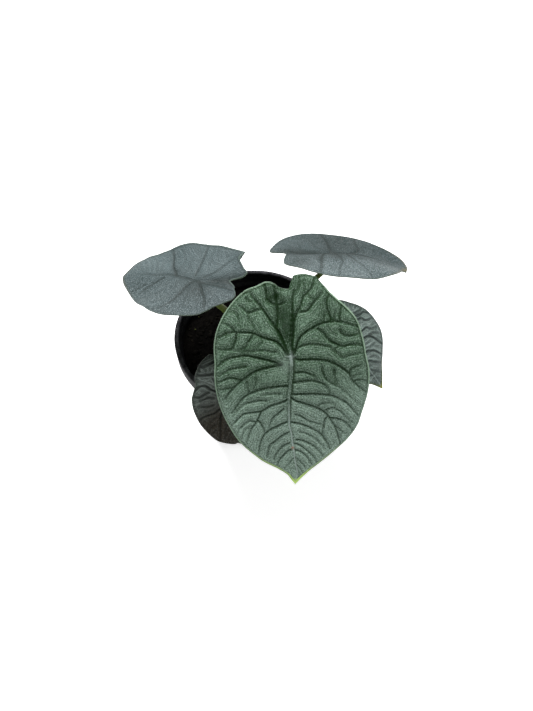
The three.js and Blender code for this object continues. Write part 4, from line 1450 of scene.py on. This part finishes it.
FRONT_VEINS = (
    # Right half, from the notch round to the tip.
    Vein(1.0, ((-1, 1.7), (-5.5, 1.3), (-11, 2), (-18, 2.7), (-23, 2.4), (-28.5, 2.1), (-34, 2.6),
               (-38, 3.4))),
    Vein(0.9, ((-20, 2.8), (-25.2, 4.6), (-28.5, 6.7), (-33.2, 8.2), (-36.1, 10.8), (-39, 13.5),
               (-44.5, 15.2))),
    Vein(0.35, ((-34, 2.6), (-39, 6), (-45.5, 6.4))),
    Vein(0.3, ((-33.2, 8.2), (-38, 9.3), (-44, 9.5))),
    Vein(0.75, ((-25.2, 4.6), (-26.1, 10.2), (-28.5, 12.6), (-31.7, 15.2), (-33.8, 17.3),
                (-36.5, 19.5))),
    Vein(0.5, ((-36.1, 10.8), (-33.4, 12.8), (-31.7, 15.2))),
    Vein(1.0, ((-2, 2.6), (-9.9, 5.2), (-13.5, 8.5), (-16.2, 13), (-18.5, 17.9), (-19.5, 24.9),
               (-18.9, 30.2), (-17.6, 34.4), (-15.5, 40))),
    Vein(0.85, ((-19.2, 23.8), (-22, 23.5), (-26.7, 22), (-30.2, 21.4), (-32.6, 22), (-34.4, 23.5))),
    Vein(0.5, ((-19.4, 25.8), (-22.6, 25.8), (-25.5, 26.6))),
    Vein(0.7, ((-19, 29.2), (-22.6, 29), (-26.1, 29.6), (-28.5, 30.5))),
    Vein(0.5, ((-18.8, 19.2), (-22.6, 20.2), (-26, 20.8))),
    Vein(0.95, ((-15.8, 16.2), (-13.2, 19.2), (-10.2, 21.4), (-7.9, 23.8), (-5.4, 29), (-4.9, 31.4),
                (-5.7, 34.4), (-5.5, 38.5), (-4.5, 41.5))),
    Vein(0.8, ((-14.4, 28.8), (-12.6, 29.6), (-11.1, 32), (-10.8, 35.5), (-11.6, 39.5))),
    Vein(0.35, ((-18.9, 21.6), (-16, 22.3), (-13, 24), (-11.5, 27))),
    Vein(0.7, ((-3.2, 3), (-5.2, 4.9), (-6.7, 8.5), (-7, 13.8), (-5.2, 22.6), (-3.4, 24.4),
               (-4.6, 27.2), (-5.3, 29))),
    Vein(0.5, ((-3.4, 24.4), (-1, 27), (1.5, 30), (0.4, 34.4), (-0.5, 42))),
    Vein(1.0, ((0.5, 2.2), (1.8, 4.5), (1.8, 11.4), (2.7, 19.6), (5.4, 26.1), (9.8, 32), (12.6, 34.2),
               (15.6, 35.2), (17.9, 37.3), (23, 42.8))),
    Vein(0.8, ((11, 33.6), (8.6, 34.6), (7.4, 37.3), (6.8, 40.5))),
    Vein(0.45, ((14.5, 35), (12.3, 37), (12, 40.5))),
    Vein(0.7, ((16.4, 36), (15.2, 38.5), (16.2, 43.5))),
    Vein(0.75, ((9.4, 2.4), (9.1, 7.3), (10.6, 11.4), (12.1, 13.8), (14.8, 15))),
    Vein(0.9, ((15.2, 1.4), (14.5, 6.7), (14.3, 11.4), (16.2, 17.9), (19.1, 20.8), (22.9, 22.2))),
    Vein(0.65, ((6.8, 17.9), (10.4, 18.5), (13.3, 19.9), (15.9, 22.6), (18.8, 27.8), (21, 30))),
    Vein(0.4, ((21, 30), (25, 34), (28.5, 37.3), (31, 40))),
    Vein(0.8, ((8.5, 24.9), (12.1, 24.9), (15, 25.5), (17.4, 26.6))),
    Vein(0.95, ((22.1, 0.6), (22.1, 7.3), (22.2, 13.2), (23.5, 22.6), (26.8, 29.2), (30.3, 33.2),
                (36.8, 38.2))),
    Vein(1.0, ((24.2, -0.1), (25.9, 2), (28.2, 8.5), (30.6, 14.4), (33.8, 19), (39.1, 22.6),
               (44.4, 24.9), (51.5, 26.7), (54.5, 27.4))),
    Vein(0.85, ((37, 21.3), (37.4, 24.9), (38.5, 27.9), (40.3, 30.8), (42.6, 32.6), (45.8, 34.6))),
    Vein(0.6, ((41.5, 23.8), (43.8, 26.7), (47, 29.5))),
    Vein(0.6, ((32.6, 18), (31.2, 21.4), (30.9, 24.4), (32.1, 26.1), (34.4, 29), (37.9, 32), (41, 35))),
    Vein(0.5, ((29.9, 13), (28.3, 16.7), (27.6, 19.6), (27.6, 22.6), (28.5, 24.6), (30.9, 24.6))),
    Vein(0.75, ((36.5, 20.2), (38, 18.6), (42.1, 17.6), (46, 17.1), (48.3, 17.4))),
    Vein(0.7, ((34.2, 1.5), (35, 4.4), (36.5, 6.7), (38.5, 9.6), (40.3, 15.5), (40.5, 18))),
    Vein(0.95, ((39, -0.6), (39.7, 3.8), (42.9, 10.8), (46.8, 16.1), (51.5, 19), (56.4, 21.2))),
    Vein(0.45, ((44.8, 4), (46, 8), (49, 12.5), (53, 16), (56.5, 18.3))),
    Vein(0.8, ((49.4, 1.5), (49.7, 4.4), (52.6, 10.2), (57.4, 14.9), (60.5, 17))),
    Vein(0.75, ((52, 0.4), (52.6, 3.2), (57.9, 9.6), (60.9, 12), (63.5, 13.4))),
    Vein(0.8, ((55.4, 0.1), (56.8, 3.8), (59.1, 6.7), (64.8, 10.3))),
    Vein(0.4, ((60.5, 1), (62.5, 3.5), (65, 5.5), (67, 7))),
    Vein(0.3, ((65, 1.4), (67, 3.4), (69.5, 4.6))),
    # Left half, from the notch round to the tip.
    Vein(1.0, ((-1, -1.2), (-4.4, -2.4), (-9.6, -4.2), (-16.1, -7.4), (-23.8, -12.5), (-27.9, -15.1),
               (-34.9, -20.4), (-37.5, -21.6))),
    Vein(0.9, ((-17.5, -7.2), (-23.8, -6.5), (-28.5, -6.8), (-38.5, -7.8), (-41, -8.3))),
    Vein(0.85, ((-41.8, -13.4), (-36.7, -12.7), (-33.2, -12.4), (-31.4, -10.6), (-30.1, -8), (-30, -5),
                (-31, -2.5))),
    Vein(0.7, ((-27.9, -15.3), (-27.3, -18.6), (-26.1, -22.1), (-26.2, -23.9), (-28, -25.7),
               (-29.8, -28))),
    Vein(0.4, ((-34.5, -24.5), (-32.2, -22.8), (-33, -20.8))),
    Vein(0.4, ((-37, -26), (-37.4, -24), (-37.3, -22))),
    Vein(0.55, ((-14.9, -31.8), (-17.2, -33), (-19.3, -36), (-20, -38.8))),
    Vein(0.35, ((-26.7, -33.3), (-25.5, -30.4), (-22.6, -29.2), (-18, -29))),
    Vein(0.35, ((-25.5, -23.9), (-22.6, -23.3), (-19.5, -21.3), (-17, -19.5))),
    Vein(1.0, ((-1.4, -2.1), (-5.5, -4.5), (-9.1, -8), (-11.4, -15), (-14.1, -21.5), (-14.8, -29.8),
               (-14.8, -33.9), (-13.8, -37.4), (-11.8, -41))),
    Vein(0.75, ((-14.7, -30.4), (-12.9, -30.9), (-10.2, -31.2), (-7.3, -32.4), (-4.9, -34.5),
                (-4.9, -42))),
    Vein(0.65, ((-14.3, -21.2), (-12, -21.8), (-8.5, -24.5), (-6.1, -25.9), (-4.2, -31))),
    Vein(0.4, ((-11.8, -15.8), (-8.5, -16.2), (-6.7, -18.6), (-5.5, -21))),
    Vein(0.45, ((-3.2, -8), (-3.2, -10.4), (-4.2, -15), (-3.6, -25.1), (-4.2, -31), (-4.8, -36))),
    Vein(1.0, ((4.4, -6), (2.1, -11.5), (0.4, -18), (-1, -25.1), (-0.8, -29.2), (0.9, -36.8),
               (5.3, -42.8))),
    Vein(1.0, ((4.8, -5.5), (5.9, -13.3), (8, -20.4), (11.5, -26.2), (16.8, -32.7), (22.1, -37.4),
               (25, -39.2))),
    Vein(0.6, ((5.2, -26), (5.9, -29.8), (6.5, -33.3), (7.4, -36.2), (11, -42.5))),
    Vein(0.85, ((13.2, -29.4), (12.9, -30.4), (12.2, -33.9), (12.4, -36.8), (14.9, -43))),
    Vein(0.7, ((17.6, -33.4), (18.2, -36.8), (18.8, -39.8), (19.5, -43))),
    Vein(1.0, ((17.1, -2.4), (17.2, -6.8), (18.1, -14.5), (20.4, -22.1), (23.2, -27.4), (26.8, -30.9),
               (31.5, -34.2), (33.6, -36.2))),
    Vein(0.55, ((21.2, -24.6), (18.5, -25.4), (15.6, -25.6), (11.8, -26.6))),
    Vein(0.5, ((20.2, -22.3), (17.4, -21.5), (15.6, -20.6), (12, -20.3))),
    Vein(0.45, ((21.5, -6), (21.6, -12.7), (22.1, -17.6))),
    Vein(0.6, ((25.6, -15), (25.6, -19.8), (27.9, -28), (32.6, -33.2), (35.5, -35.5))),
    Vein(0.95, ((25.2, -2.6), (26.5, -5.6), (28.8, -12.7), (31.8, -18), (32.6, -22.1), (33.8, -28.6),
                (38.7, -33.8), (41, -36))),
    Vein(0.85, ((31.9, -18.2), (34.4, -19.2), (39.7, -22.1), (42.6, -24.5), (51.5, -28))),
    Vein(0.8, ((37.8, -20.9), (38.4, -19.4), (41.5, -17.7), (44.4, -16.8), (46.6, -17))),
    Vein(0.6, ((38.8, -21.5), (37.9, -23.6), (38.2, -26.2), (42.6, -31.5), (45.5, -33))),
    Vein(0.4, ((40.6, -22.8), (42, -27), (45.5, -29.5), (48.5, -30.5))),
    Vein(0.75, ((30.7, -5), (33.2, -8), (35, -10.4), (37.4, -12.4), (43, -14.2))),
    Vein(0.95, ((38.6, -3.4), (40.3, -7.4), (43.2, -13.3), (46.8, -17.4), (52.1, -19.8), (58, -21))),
    Vein(0.85, ((44.8, -2.6), (46.8, -6.2), (50.9, -11.5), (53.3, -14.2), (60.5, -16.2))),
    Vein(0.8, ((51.4, -2.4), (53.8, -6.8), (59.1, -10.9), (62.5, -12.2))),
    Vein(0.8, ((55.6, -1.6), (56.8, -3.9), (62.1, -8.6), (65, -10))),
    Vein(0.4, ((61, -0.5), (63.5, -2.7), (65.5, -4.4), (67.4, -5.4))),
)

FRONT = Leaf(
    name="front", attach=(21.7, -54.1, 150.0), facing=(-5.0, 42.0), toward=(0.04, -0.745, -0.665),
    right=Margin(((0, 77.5), (3.5, 73), (9, 68.3), (20, 63.4), (34, 59.3), (42, 56.6), (50, 53.2),
                  (65, 49.4), (78, 46.3), (91, 43.5), (104, 43.1), (117, 43.6), (138, 42.6),
                  (145, 43.1), (154, 45.3), (162, 48), (168, 47.9), (172, 47.3), (176, 46.2),
                  (178, 42.2), (180, 38.6))),
    left=Margin(((0, 77.5), (1.5, 75), (3.6, 71.6), (9, 68.5), (16, 66.3), (23, 63.3), (32, 60),
                 (42, 56.3), (53, 52.9), (63, 49.8), (76, 46.5), (87, 44.7), (102, 45.2), (127, 45.5),
                 (147, 46), (157, 44.9), (162, 45.2), (166, 44.6), (169.5, 42.6), (172.5, 40.2),
                 (176, 38.9), (180, 38.6))),
    form=Form(length=80, width=46, tip=5, lobe=4, right=6, left=6, valley=2.6, ripple=0.5, waves=9,
              phase=0.6),
    swells=((-43, -9, 1.8, 5), (-44, 10, -1.6, 9), (24, 20, 0.8, 12)),
    sway=((0, 0), (0.04, 0.6), (0.12, 0.3), (0.22, -0.7), (0.33, -1.8), (0.52, -2.1), (0.61, -0.9),
          (0.77, 0.2), (0.9, 1.5), (1, 0)),
    veins=FRONT_VEINS, borrowed=0.0, quilt=1.0, midrib=1.0, notch_turn=-8.0, spot=(54.5, -0.6),
    shadows=((-28, 20, 10, 0.26), (12, -20, 13, 0.17), (14, 20, 12, 0.22), (-41, 5, 6.5, 0.45),
             (-34, 17, 8, 0.2), (-33, 26, 6.5, 0.34), (-34, -10.5, 2.4, 0.9), (-34.5, -7.2, 3.4, 1.0),
             (-33, -4.2, 2.4, 0.8), (-21, -7.6, 1.3, 0.8), (-17, -7.3, 1.9, 1.0),
             (-14.8, -6.4, 1.9, 1.0), (-12.6, -5.4, 1.9, 1.0), (-10.5, -4.4, 1.9, 1.0),
             (-8.4, -3.4, 1.8, 1.0), (-6.2, -2.6, 1.5, 0.95), (-4.2, -2, 1.3, 0.9), (-27, 2, 1.6, 0.8),
             (-23.5, 1.6, 2.4, 1.0), (-20.8, 1.4, 2.5, 1.0), (-18, 1.1, 2.5, 1.0),
             (-15.2, 0.9, 2.4, 1.0), (-12.4, 0.6, 2.3, 1.0), (-9.6, 0.5, 2.1, 0.95),
             (-7, 0.6, 1.8, 0.9), (-4, 1.9, 1.4, 0.9)),
    hems=((-168, -60, 0.75), (-60, -4, 0.55), (-4, 8, 0.9), (8, 64, 0.3), (64, 150, 1.0)),
    painted_lighting_spread=(6, -1, 46, 0.78), grit=(0, 2, 46, 0.6), finish=GREEN, slot="leaf_green",
    stalk_turn=-66, stalk_top=1.9, rows=262, columns=82, seed=3)

UPPER_LEFT = Leaf(
    name="upper_left", attach=(-34.9, 3.4, 145.0), facing=(250.0, 18.0),
    toward=(-0.88, 0.361, -0.3088),
    right=Margin(((0, 57.4), (2, 56.7), (5.5, 54.7), (11, 50.7), (16.5, 47.2), (24, 43.5), (31.5, 40.8),
                  (40, 38.2), (48, 35.8), (58, 34.2), (67, 32.7), (85, 31.2), (102, 30.7), (118, 30.1),
                  (131, 28.5), (140, 28), (148, 29), (156, 30.4), (161, 31.1), (166, 30.7), (173, 28.8),
                  (180, 26.2))),
    left=Margin(((0, 57.4), (3, 56), (6, 54.8), (11, 52.9), (16, 49.6), (21, 46.9), (25, 43.5),
                 (31, 40.1), (36, 37.2), (44, 34.2), (52, 31.9), (65, 29.3), (77, 27.3), (91, 26.4),
                 (105, 27.3), (116, 28.8), (126, 31.3), (133, 33.6), (135.5, 34.6), (136.7, 32),
                 (138.5, 29.5), (147, 30.1), (153, 30.9), (159, 32.5), (162, 31.3), (164.5, 28.9),
                 (166.5, 23.5), (168.5, 21.8), (172, 23.1), (180, 26.2))),
    left_ribs=(0, 5, 11, 19, 28, 43, 56, 68, 86, 108, 125, 135.5, 150, 160),
    form=Form(length=55, width=30, tip=6, lobe=1, right=-4.5, left=-4.5, valley=1.4, ripple=0.5,
              waves=7, phase=2.1),
    sway=((0, 0), (0.18, -1.1), (0.28, -2.1), (0.4, -2.4), (0.55, -1.5), (1, 0)),
    swells=((-24, -22, 1.6, 6), (30, 8, -0.8, 12)), notch_turn=-10.0,
    veins=(
        Vein(1.0, ((15.5, -2.1), (17.6, -5), (20.5, -8.1), (22.8, -12.7), (24.3, -16.6), (27, -20.5))),
        Vein(0.6, ((2.2, -3.9), (2, -9), (1.7, -18), (2.1, -25))),
        Vein(0.5, ((-4, -3), (-10, -8), (-15.2, -14.9), (-20, -20))),
        Vein(1.0, ((-1, 0.5), (-4.8, 1), (-8.8, 1.2), (-13.4, 1.2), (-18.1, 1.7), (-22.2, 2),
                   (-26, 2.9))),
        Vein(1.0, ((-1.5, 0.8), (-2.8, 1.3), (-5.6, 4.4), (-8.8, 8.8), (-12, 12.6), (-14.3, 16.5),
                   (-15.5, 20))),
        Vein(0.85, ((0.7, 0.3), (3.8, 4.2), (5.4, 11), (6.8, 16.4), (8.2, 19.8), (10.7, 23.4),
                    (12.5, 26.1))),
        Vein(0.6, ((24, 0.1), (27.2, 2.9), (30.4, 5.8), (33.5, 8.7), (37, 13))),
        Vein(0.4, ((35.7, 6.1), (39.5, 9), (43.4, 11.8))),
    ),
    pattern=FRONT, mirrored=True, borrowed=0.16, quilt=0.2, painted_lighting_spread=(-90, -14, 14, 0.5),
    grit=(90, -4, 12, 1.2), shadows=((-2, 5, 9, 0.55), (8, 1, 6, 0.3), (14, -4, 6, 0.3)),
    hems=((-180, -20, 0.5), (-20, 180, 0.2)), tip_colour=0.0, finish=GREY, slot="leaf_grey_green",
    stalk_turn=174, stalk_base=2.6, stalk_top=2.0, seed=5)

UPPER_RIGHT = Leaf(
    name="upper_right", attach=(49.0, 24.7, 145.0), facing=(163.0, 25.0),
    toward=(0.991, 0.0, -0.135),
    right=Margin(((0, 49), (4, 50.4), (7.5, 51), (11, 50.7), (15, 49.3), (18, 47), (21, 43.7),
                  (26, 38.7), (30, 36.1), (35, 34), (41, 32.2), (48, 30), (56, 27.7), (64, 25.4),
                  (75, 23.3), (87, 22.5), (95, 22.9), (104, 23.9), (114, 25.3), (123, 26.5),
                  (133, 28.4), (142, 30.8), (150, 33.8), (156, 35.8), (162, 37.1), (168, 38.1),
                  (173, 38.8), (177, 38.6), (179, 36), (180, 29.3))),
    left=Margin(((0, 49), (2.5, 46), (8, 44.1), (14, 42.6), (19, 41.3), (25, 39.5), (34, 37),
                 (44, 35.4), (55, 34.7), (63, 34.8), (71, 34), (80, 32.4), (89, 31.2), (99, 30.6),
                 (109, 30.7), (120, 31.4), (132, 30.6), (140, 30.8), (146, 31.9), (151, 33.1),
                 (156, 33.8), (160, 33.2), (165, 31.8), (171, 30.2), (176, 29.2), (180, 29.3))),
    form=Form(length=50, width=30, tip=8, lobe=2, right=-1.5, left=-1.5, valley=1.2, ripple=0.4,
              waves=7, phase=4.0),
    sway=((0, 0), (0.5, 1.5), (1, 0)), swells=((20, -15, 0.9, 10),),
    veins=(
        Vein(0.9, ((-1, -0.5), (-4.7, -1.5), (-10, -1.7), (-15.3, -1.7), (-22, -1), (-29, 4))),
        Vein(1.0, ((-1.5, -0.8), (-5.5, -2.5), (-7, -5.3), (-7.7, -8.7), (-9, -19.3), (-10, -24.7),
                   (-10.5, -29))),
        Vein(0.9, ((-1, 0.8), (-1.3, 3.3), (-1.7, 8.7), (-2.7, 14), (-4.7, 19.3), (-6, 22))),
        Vein(0.6, ((1.5, -1), (3.3, -3.3), (5.3, -8.7), (4, -14.7), (2, -21.3), (1, -29))),
        Vein(0.7, ((11, 1), (14.5, 3.3), (17.5, 8), (16.5, 14), (16, 21))),
        Vein(0.5, ((9, -0.5), (13, -6), (17, -13), (20, -20), (22, -26))),
    ),
    pattern=FRONT, borrowed=0.16, quilt=0.2, painted_lighting_spread=(-90, 0, 12, 0.4), grit=(-90, 0, 12, 2.2),
    shadows=((2, -3, 9, 0.6), (-9, -8, 6, 0.55), (-3, 11, 6, 0.45), (15, 9, 8, 0.45),
             (-22, -13, 12, 0.6), (4, 14, 24, 0.52)),
    hems=((-180, 180, 0.3),), tip_colour=0.6, finish=GREY, slot="leaf_grey_green", stalk_turn=58,
    stalk_top=1.7, seed=7)

RIGHT = Leaf(
    name="right", attach=(57.1, -20.1, 118.0), facing=(35.0, 42.0), toward=(0.58, -0.46, -0.67),
    right=Margin(((0, 44), (3, 40.7), (8, 37.1), (16, 33.3), (27, 31), (37, 29), (46, 28), (62, 26.9),
                  (72, 25.6), (81, 24.5), (92, 23.5), (102, 22.8), (115, 22.1), (128, 21.8),
                  (139, 22.5), (150, 23.4), (168, 23.5), (174, 22), (180, 18))),
    left=Margin(((0, 44), (4, 39), (7, 36.5), (12, 34.5), (20, 33), (35, 29.5), (50, 26.5), (65, 24.5),
                 (80, 23), (95, 22), (125, 21.5), (150, 22.5), (160, 23.5), (168, 23.5), (174, 22),
                 (180, 18))),
    form=Form(length=45, width=25, tip=4, lobe=3, right=4, left=4, valley=1.2, ripple=0.4, waves=8,
              phase=1.0),
    veins=(
        Vein(1.0, ((7, 3), (8.6, 7), (9.3, 10.7), (10.7, 13.3), (13.3, 15), (16, 16), (19.3, 17),
                   (21.5, 18))),
        Vein(1.0, ((16, 0.5), (17, 6), (18.3, 8), (20.7, 10.7), (24, 12.3), (27, 13.5))),
        Vein(0.8, ((4, 4), (4.7, 12), (5.3, 15.3), (8, 17.3), (10, 21.3))),
        Vein(0.8, ((-5.5, 12), (-5, 15), (-4, 17.3), (-3.3, 20), (0, 22.7))),
        Vein(0.8, ((-3, 5), (-3, 11), (-2, 15.7), (1.3, 17.7), (3.3, 21.3), (4, 23.6))),
        Vein(0.6, ((-8, 12.5), (-7.3, 14.7), (-6, 18), (-5.5, 20.5))),
        Vein(0.8, ((22, 0.5), (22.7, 3.3), (26, 6), (29.3, 9.3))),
        Vein(0.6, ((9.8, 11.5), (10, 14), (11.3, 17.3), (14, 20))),
        Vein(0.5, ((28, 0.7), (31, 3), (33.5, 5))),
    ),
    pattern=FRONT, mirrored=True, midrib=0.6, shadows=((37, 5, 13, 0.5), (20, 20, 9, 0.25)),
    hems=((-180, 180, 0.3),), tip_colour=1.0, finish=QUILT, slot="leaf_grey_green", stalk_turn=-4,
    stalk_top=1.6, rows=170, columns=50, seed=9)

LOWER_LEFT = Leaf(
    name="lower_left", attach=(-11.2, -58.1, 108.0), facing=(15.0, 42.0),
    toward=(0.54, -0.57, -0.62),
    right=Margin(((0, 40), (4, 37), (10, 34.5), (20, 32), (35, 29), (50, 27), (65, 25.5), (80, 24.5),
                  (95, 24), (125, 24.5), (140, 26.5), (148, 28), (156, 28), (161, 26), (165, 23.5),
                  (168, 24), (171, 28), (175, 30.5), (180, 30.5))),
    left=Margin(((0, 40), (4, 36.5), (10, 32.5), (18, 29.5), (27, 28.6), (34, 29.5), (43, 29.2),
                 (53, 29), (63, 28), (74, 27.1), (87, 26.5), (100, 26.1), (123, 26.1), (129, 25.6),
                 (141, 25.2), (149, 26.7), (155, 28), (160, 28.5), (168, 29.6), (175, 30.2),
                 (180, 30.5))),
    right_ribs=(0, 5, 11, 19, 28, 43, 56, 68, 86, 105, 120, 133, 144, 153),
    form=Form(length=45, width=28, tip=4, lobe=3, right=4, left=4, valley=1.5, ripple=0.4, waves=8,
              phase=3.0),
    sway=((0, 0), (0.5, 0.6), (1, 0)), notch_turn=14.0,
    veins=(
        Vein(0.9, ((0.3, -2), (0.3, -12), (0.7, -14.7), (0, -18), (-0.7, -21.3), (-1, -25))),
        Vein(1.0, ((1, -5), (4, -12.7), (6.7, -14.7), (9.3, -16.7), (12.7, -18.7), (15.3, -20.7),
                   (17.5, -22))),
        Vein(0.6, ((-4, -13), (-4.7, -16), (-8, -21.3))),
        Vein(0.9, ((-5, -2), (-10, -7), (-12.7, -9), (-14.7, -9.7), (-16.7, -11), (-18, -14),
                   (-17, -20))),
        Vein(1.0, ((-12, 3), (-17, 1), (-19.7, -2.7), (-20.7, -4.7), (-23.3, -9.3), (-25, -11.5))),
        Vein(0.7, ((-12, -11), (-12.3, -14), (-12.7, -18), (-14.7, -20), (-15.5, -21.5))),
        Vein(0.6, ((-7.3, -10.7), (-9.3, -12.7), (-10, -16), (-10.5, -19))),
        Vein(0.6, ((-25.5, 2), (-26, -2), (-26.7, -5.3), (-28, -7))),
    ),
    pattern=FRONT, shadows=((-9, -17, 9, 0.36),), hems=((-180, 180, 0.3),), tip_colour=0.4,
    painted_lighting_spread=(0, -20, 6, 0.93), grit=(0, -15, 8, -0.4), finish=DARK, slot="leaf_dark",
    stalk_turn=-128, stalk_top=1.6, stalk_rise=0.45, rows=170, columns=50, seed=13)

LEAVES = (FRONT, UPPER_LEFT, UPPER_RIGHT, RIGHT, LOWER_LEFT)


@dataclass
class Studio:
    """A pale floor, soft lamps and the camera.

    Attributes:
        target: Where the camera looks, in millimetres.
        elevation: How far it looks down, in degrees.
        distance: How far it is from there, in millimetres.
        lens: Its focal length, in millimetres.
        sensor: The width of its sensor, in millimetres.
        floor_size: Half the floor's width, in metres.
        floor_glow: How brightly the floor shines by itself.
        room: The strength of the light from all round.
    """

    target: Triple = (8.02, -16.31, 90.0)
    elevation: float = 58.39
    distance: float = 638.65
    lens: float = 50.0
    sensor: float = 36.0
    floor_size: float = 3.0
    floor_colour: Colour = (0.88, 0.88, 0.88)
    floor_glow: float = 0.62
    room: float = 0.24

    def floor(self) -> None:
        """Lays the floor under the pot."""
        bm = bmesh.new()
        bmesh.ops.create_grid(bm, x_segments=2, y_segments=2, size=self.floor_size)
        mesh = bpy.data.meshes.new("floor")
        bm.to_mesh(mesh)
        bm.free()
        r = Recipe("floor_paper")
        mesh.materials.append(r.close({
            "Base Color": (*self.floor_colour, 1.0), "Roughness": 0.9,
            "Emission Color": (1.0, 1.0, 1.0, 1.0), "Emission Strength": self.floor_glow,
        }))
        plane = bpy.data.objects.new("floor", mesh)
        bpy.context.scene.collection.objects.link(plane)

    def lamp(self, name: str, at: Triple, size: float, watts: float) -> None:
        """Hangs a square soft lamp that looks at the plant.

        Args:
            name: The lamp's name.
            at: Where it hangs, in metres.
            size: Its width in metres.
            watts: Its power.
        """
        data = bpy.data.lights.new(name, "AREA")
        data.shape = "SQUARE"
        data.size = size
        data.energy = watts
        lamp = bpy.data.objects.new(name, data)
        lamp.location = at
        aim = Vector((0.0, -0.01, 0.1)) - Vector(at)
        lamp.rotation_euler = aim.to_track_quat("-Z", "Y").to_euler()
        bpy.context.scene.collection.objects.link(lamp)

    def camera(self) -> None:
        """Sets up the camera at the photograph's angle."""
        data = bpy.data.cameras.new("camera")
        data.lens = self.lens
        data.sensor_width = self.sensor
        data.clip_start = 0.01
        camera = bpy.data.objects.new("camera", data)
        tilt = math.radians(self.elevation)
        back = Vector((0.0, -math.cos(tilt), math.sin(tilt)))
        camera.location = (Vector(self.target) + back * self.distance) * MM
        camera.rotation_euler = (math.pi / 2.0 - tilt, 0.0, 0.0)
        bpy.context.scene.collection.objects.link(camera)
        bpy.context.scene.camera = camera

    def build(self) -> None:
        """Sets up everything that isn't the plant."""
        self.floor()
        self.lamp("overhead", at=(-0.30, 0.75, 1.10), size=0.5, watts=31.0)
        self.lamp("front_fill", at=(0.3, -1.2, 0.9), size=1.0, watts=2.2)
        self.lamp("right_fill", at=(1.2, -0.2, 0.8), size=0.6, watts=7.0)
        world = bpy.data.worlds.new("room")
        world.use_nodes = True
        sky = world.node_tree.nodes["Background"].inputs
        sky["Color"].default_value = (1.0, 1.0, 1.0, 1.0)
        sky["Strength"].default_value = self.room
        bpy.context.scene.world = world
        bpy.context.scene.view_settings.view_transform = "Standard"
        self.camera()


def main() -> None:
    """Builds the studio and the plant."""
    logging.basicConfig(level=logging.INFO, format="%(name)s: %(message)s")
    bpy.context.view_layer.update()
    Studio().build()
    Pot(BLACK_PLASTIC).build()
    PottingMix(DARK_MIX, BARK, PERLITE).build()
    StemBase(ROOTSTOCK).build()
    for leaf in LEAVES:
        Stalk(leaf, STALK_SKIN).build()
        Blade(leaf).build()


if __name__ == "__main__":
    main()
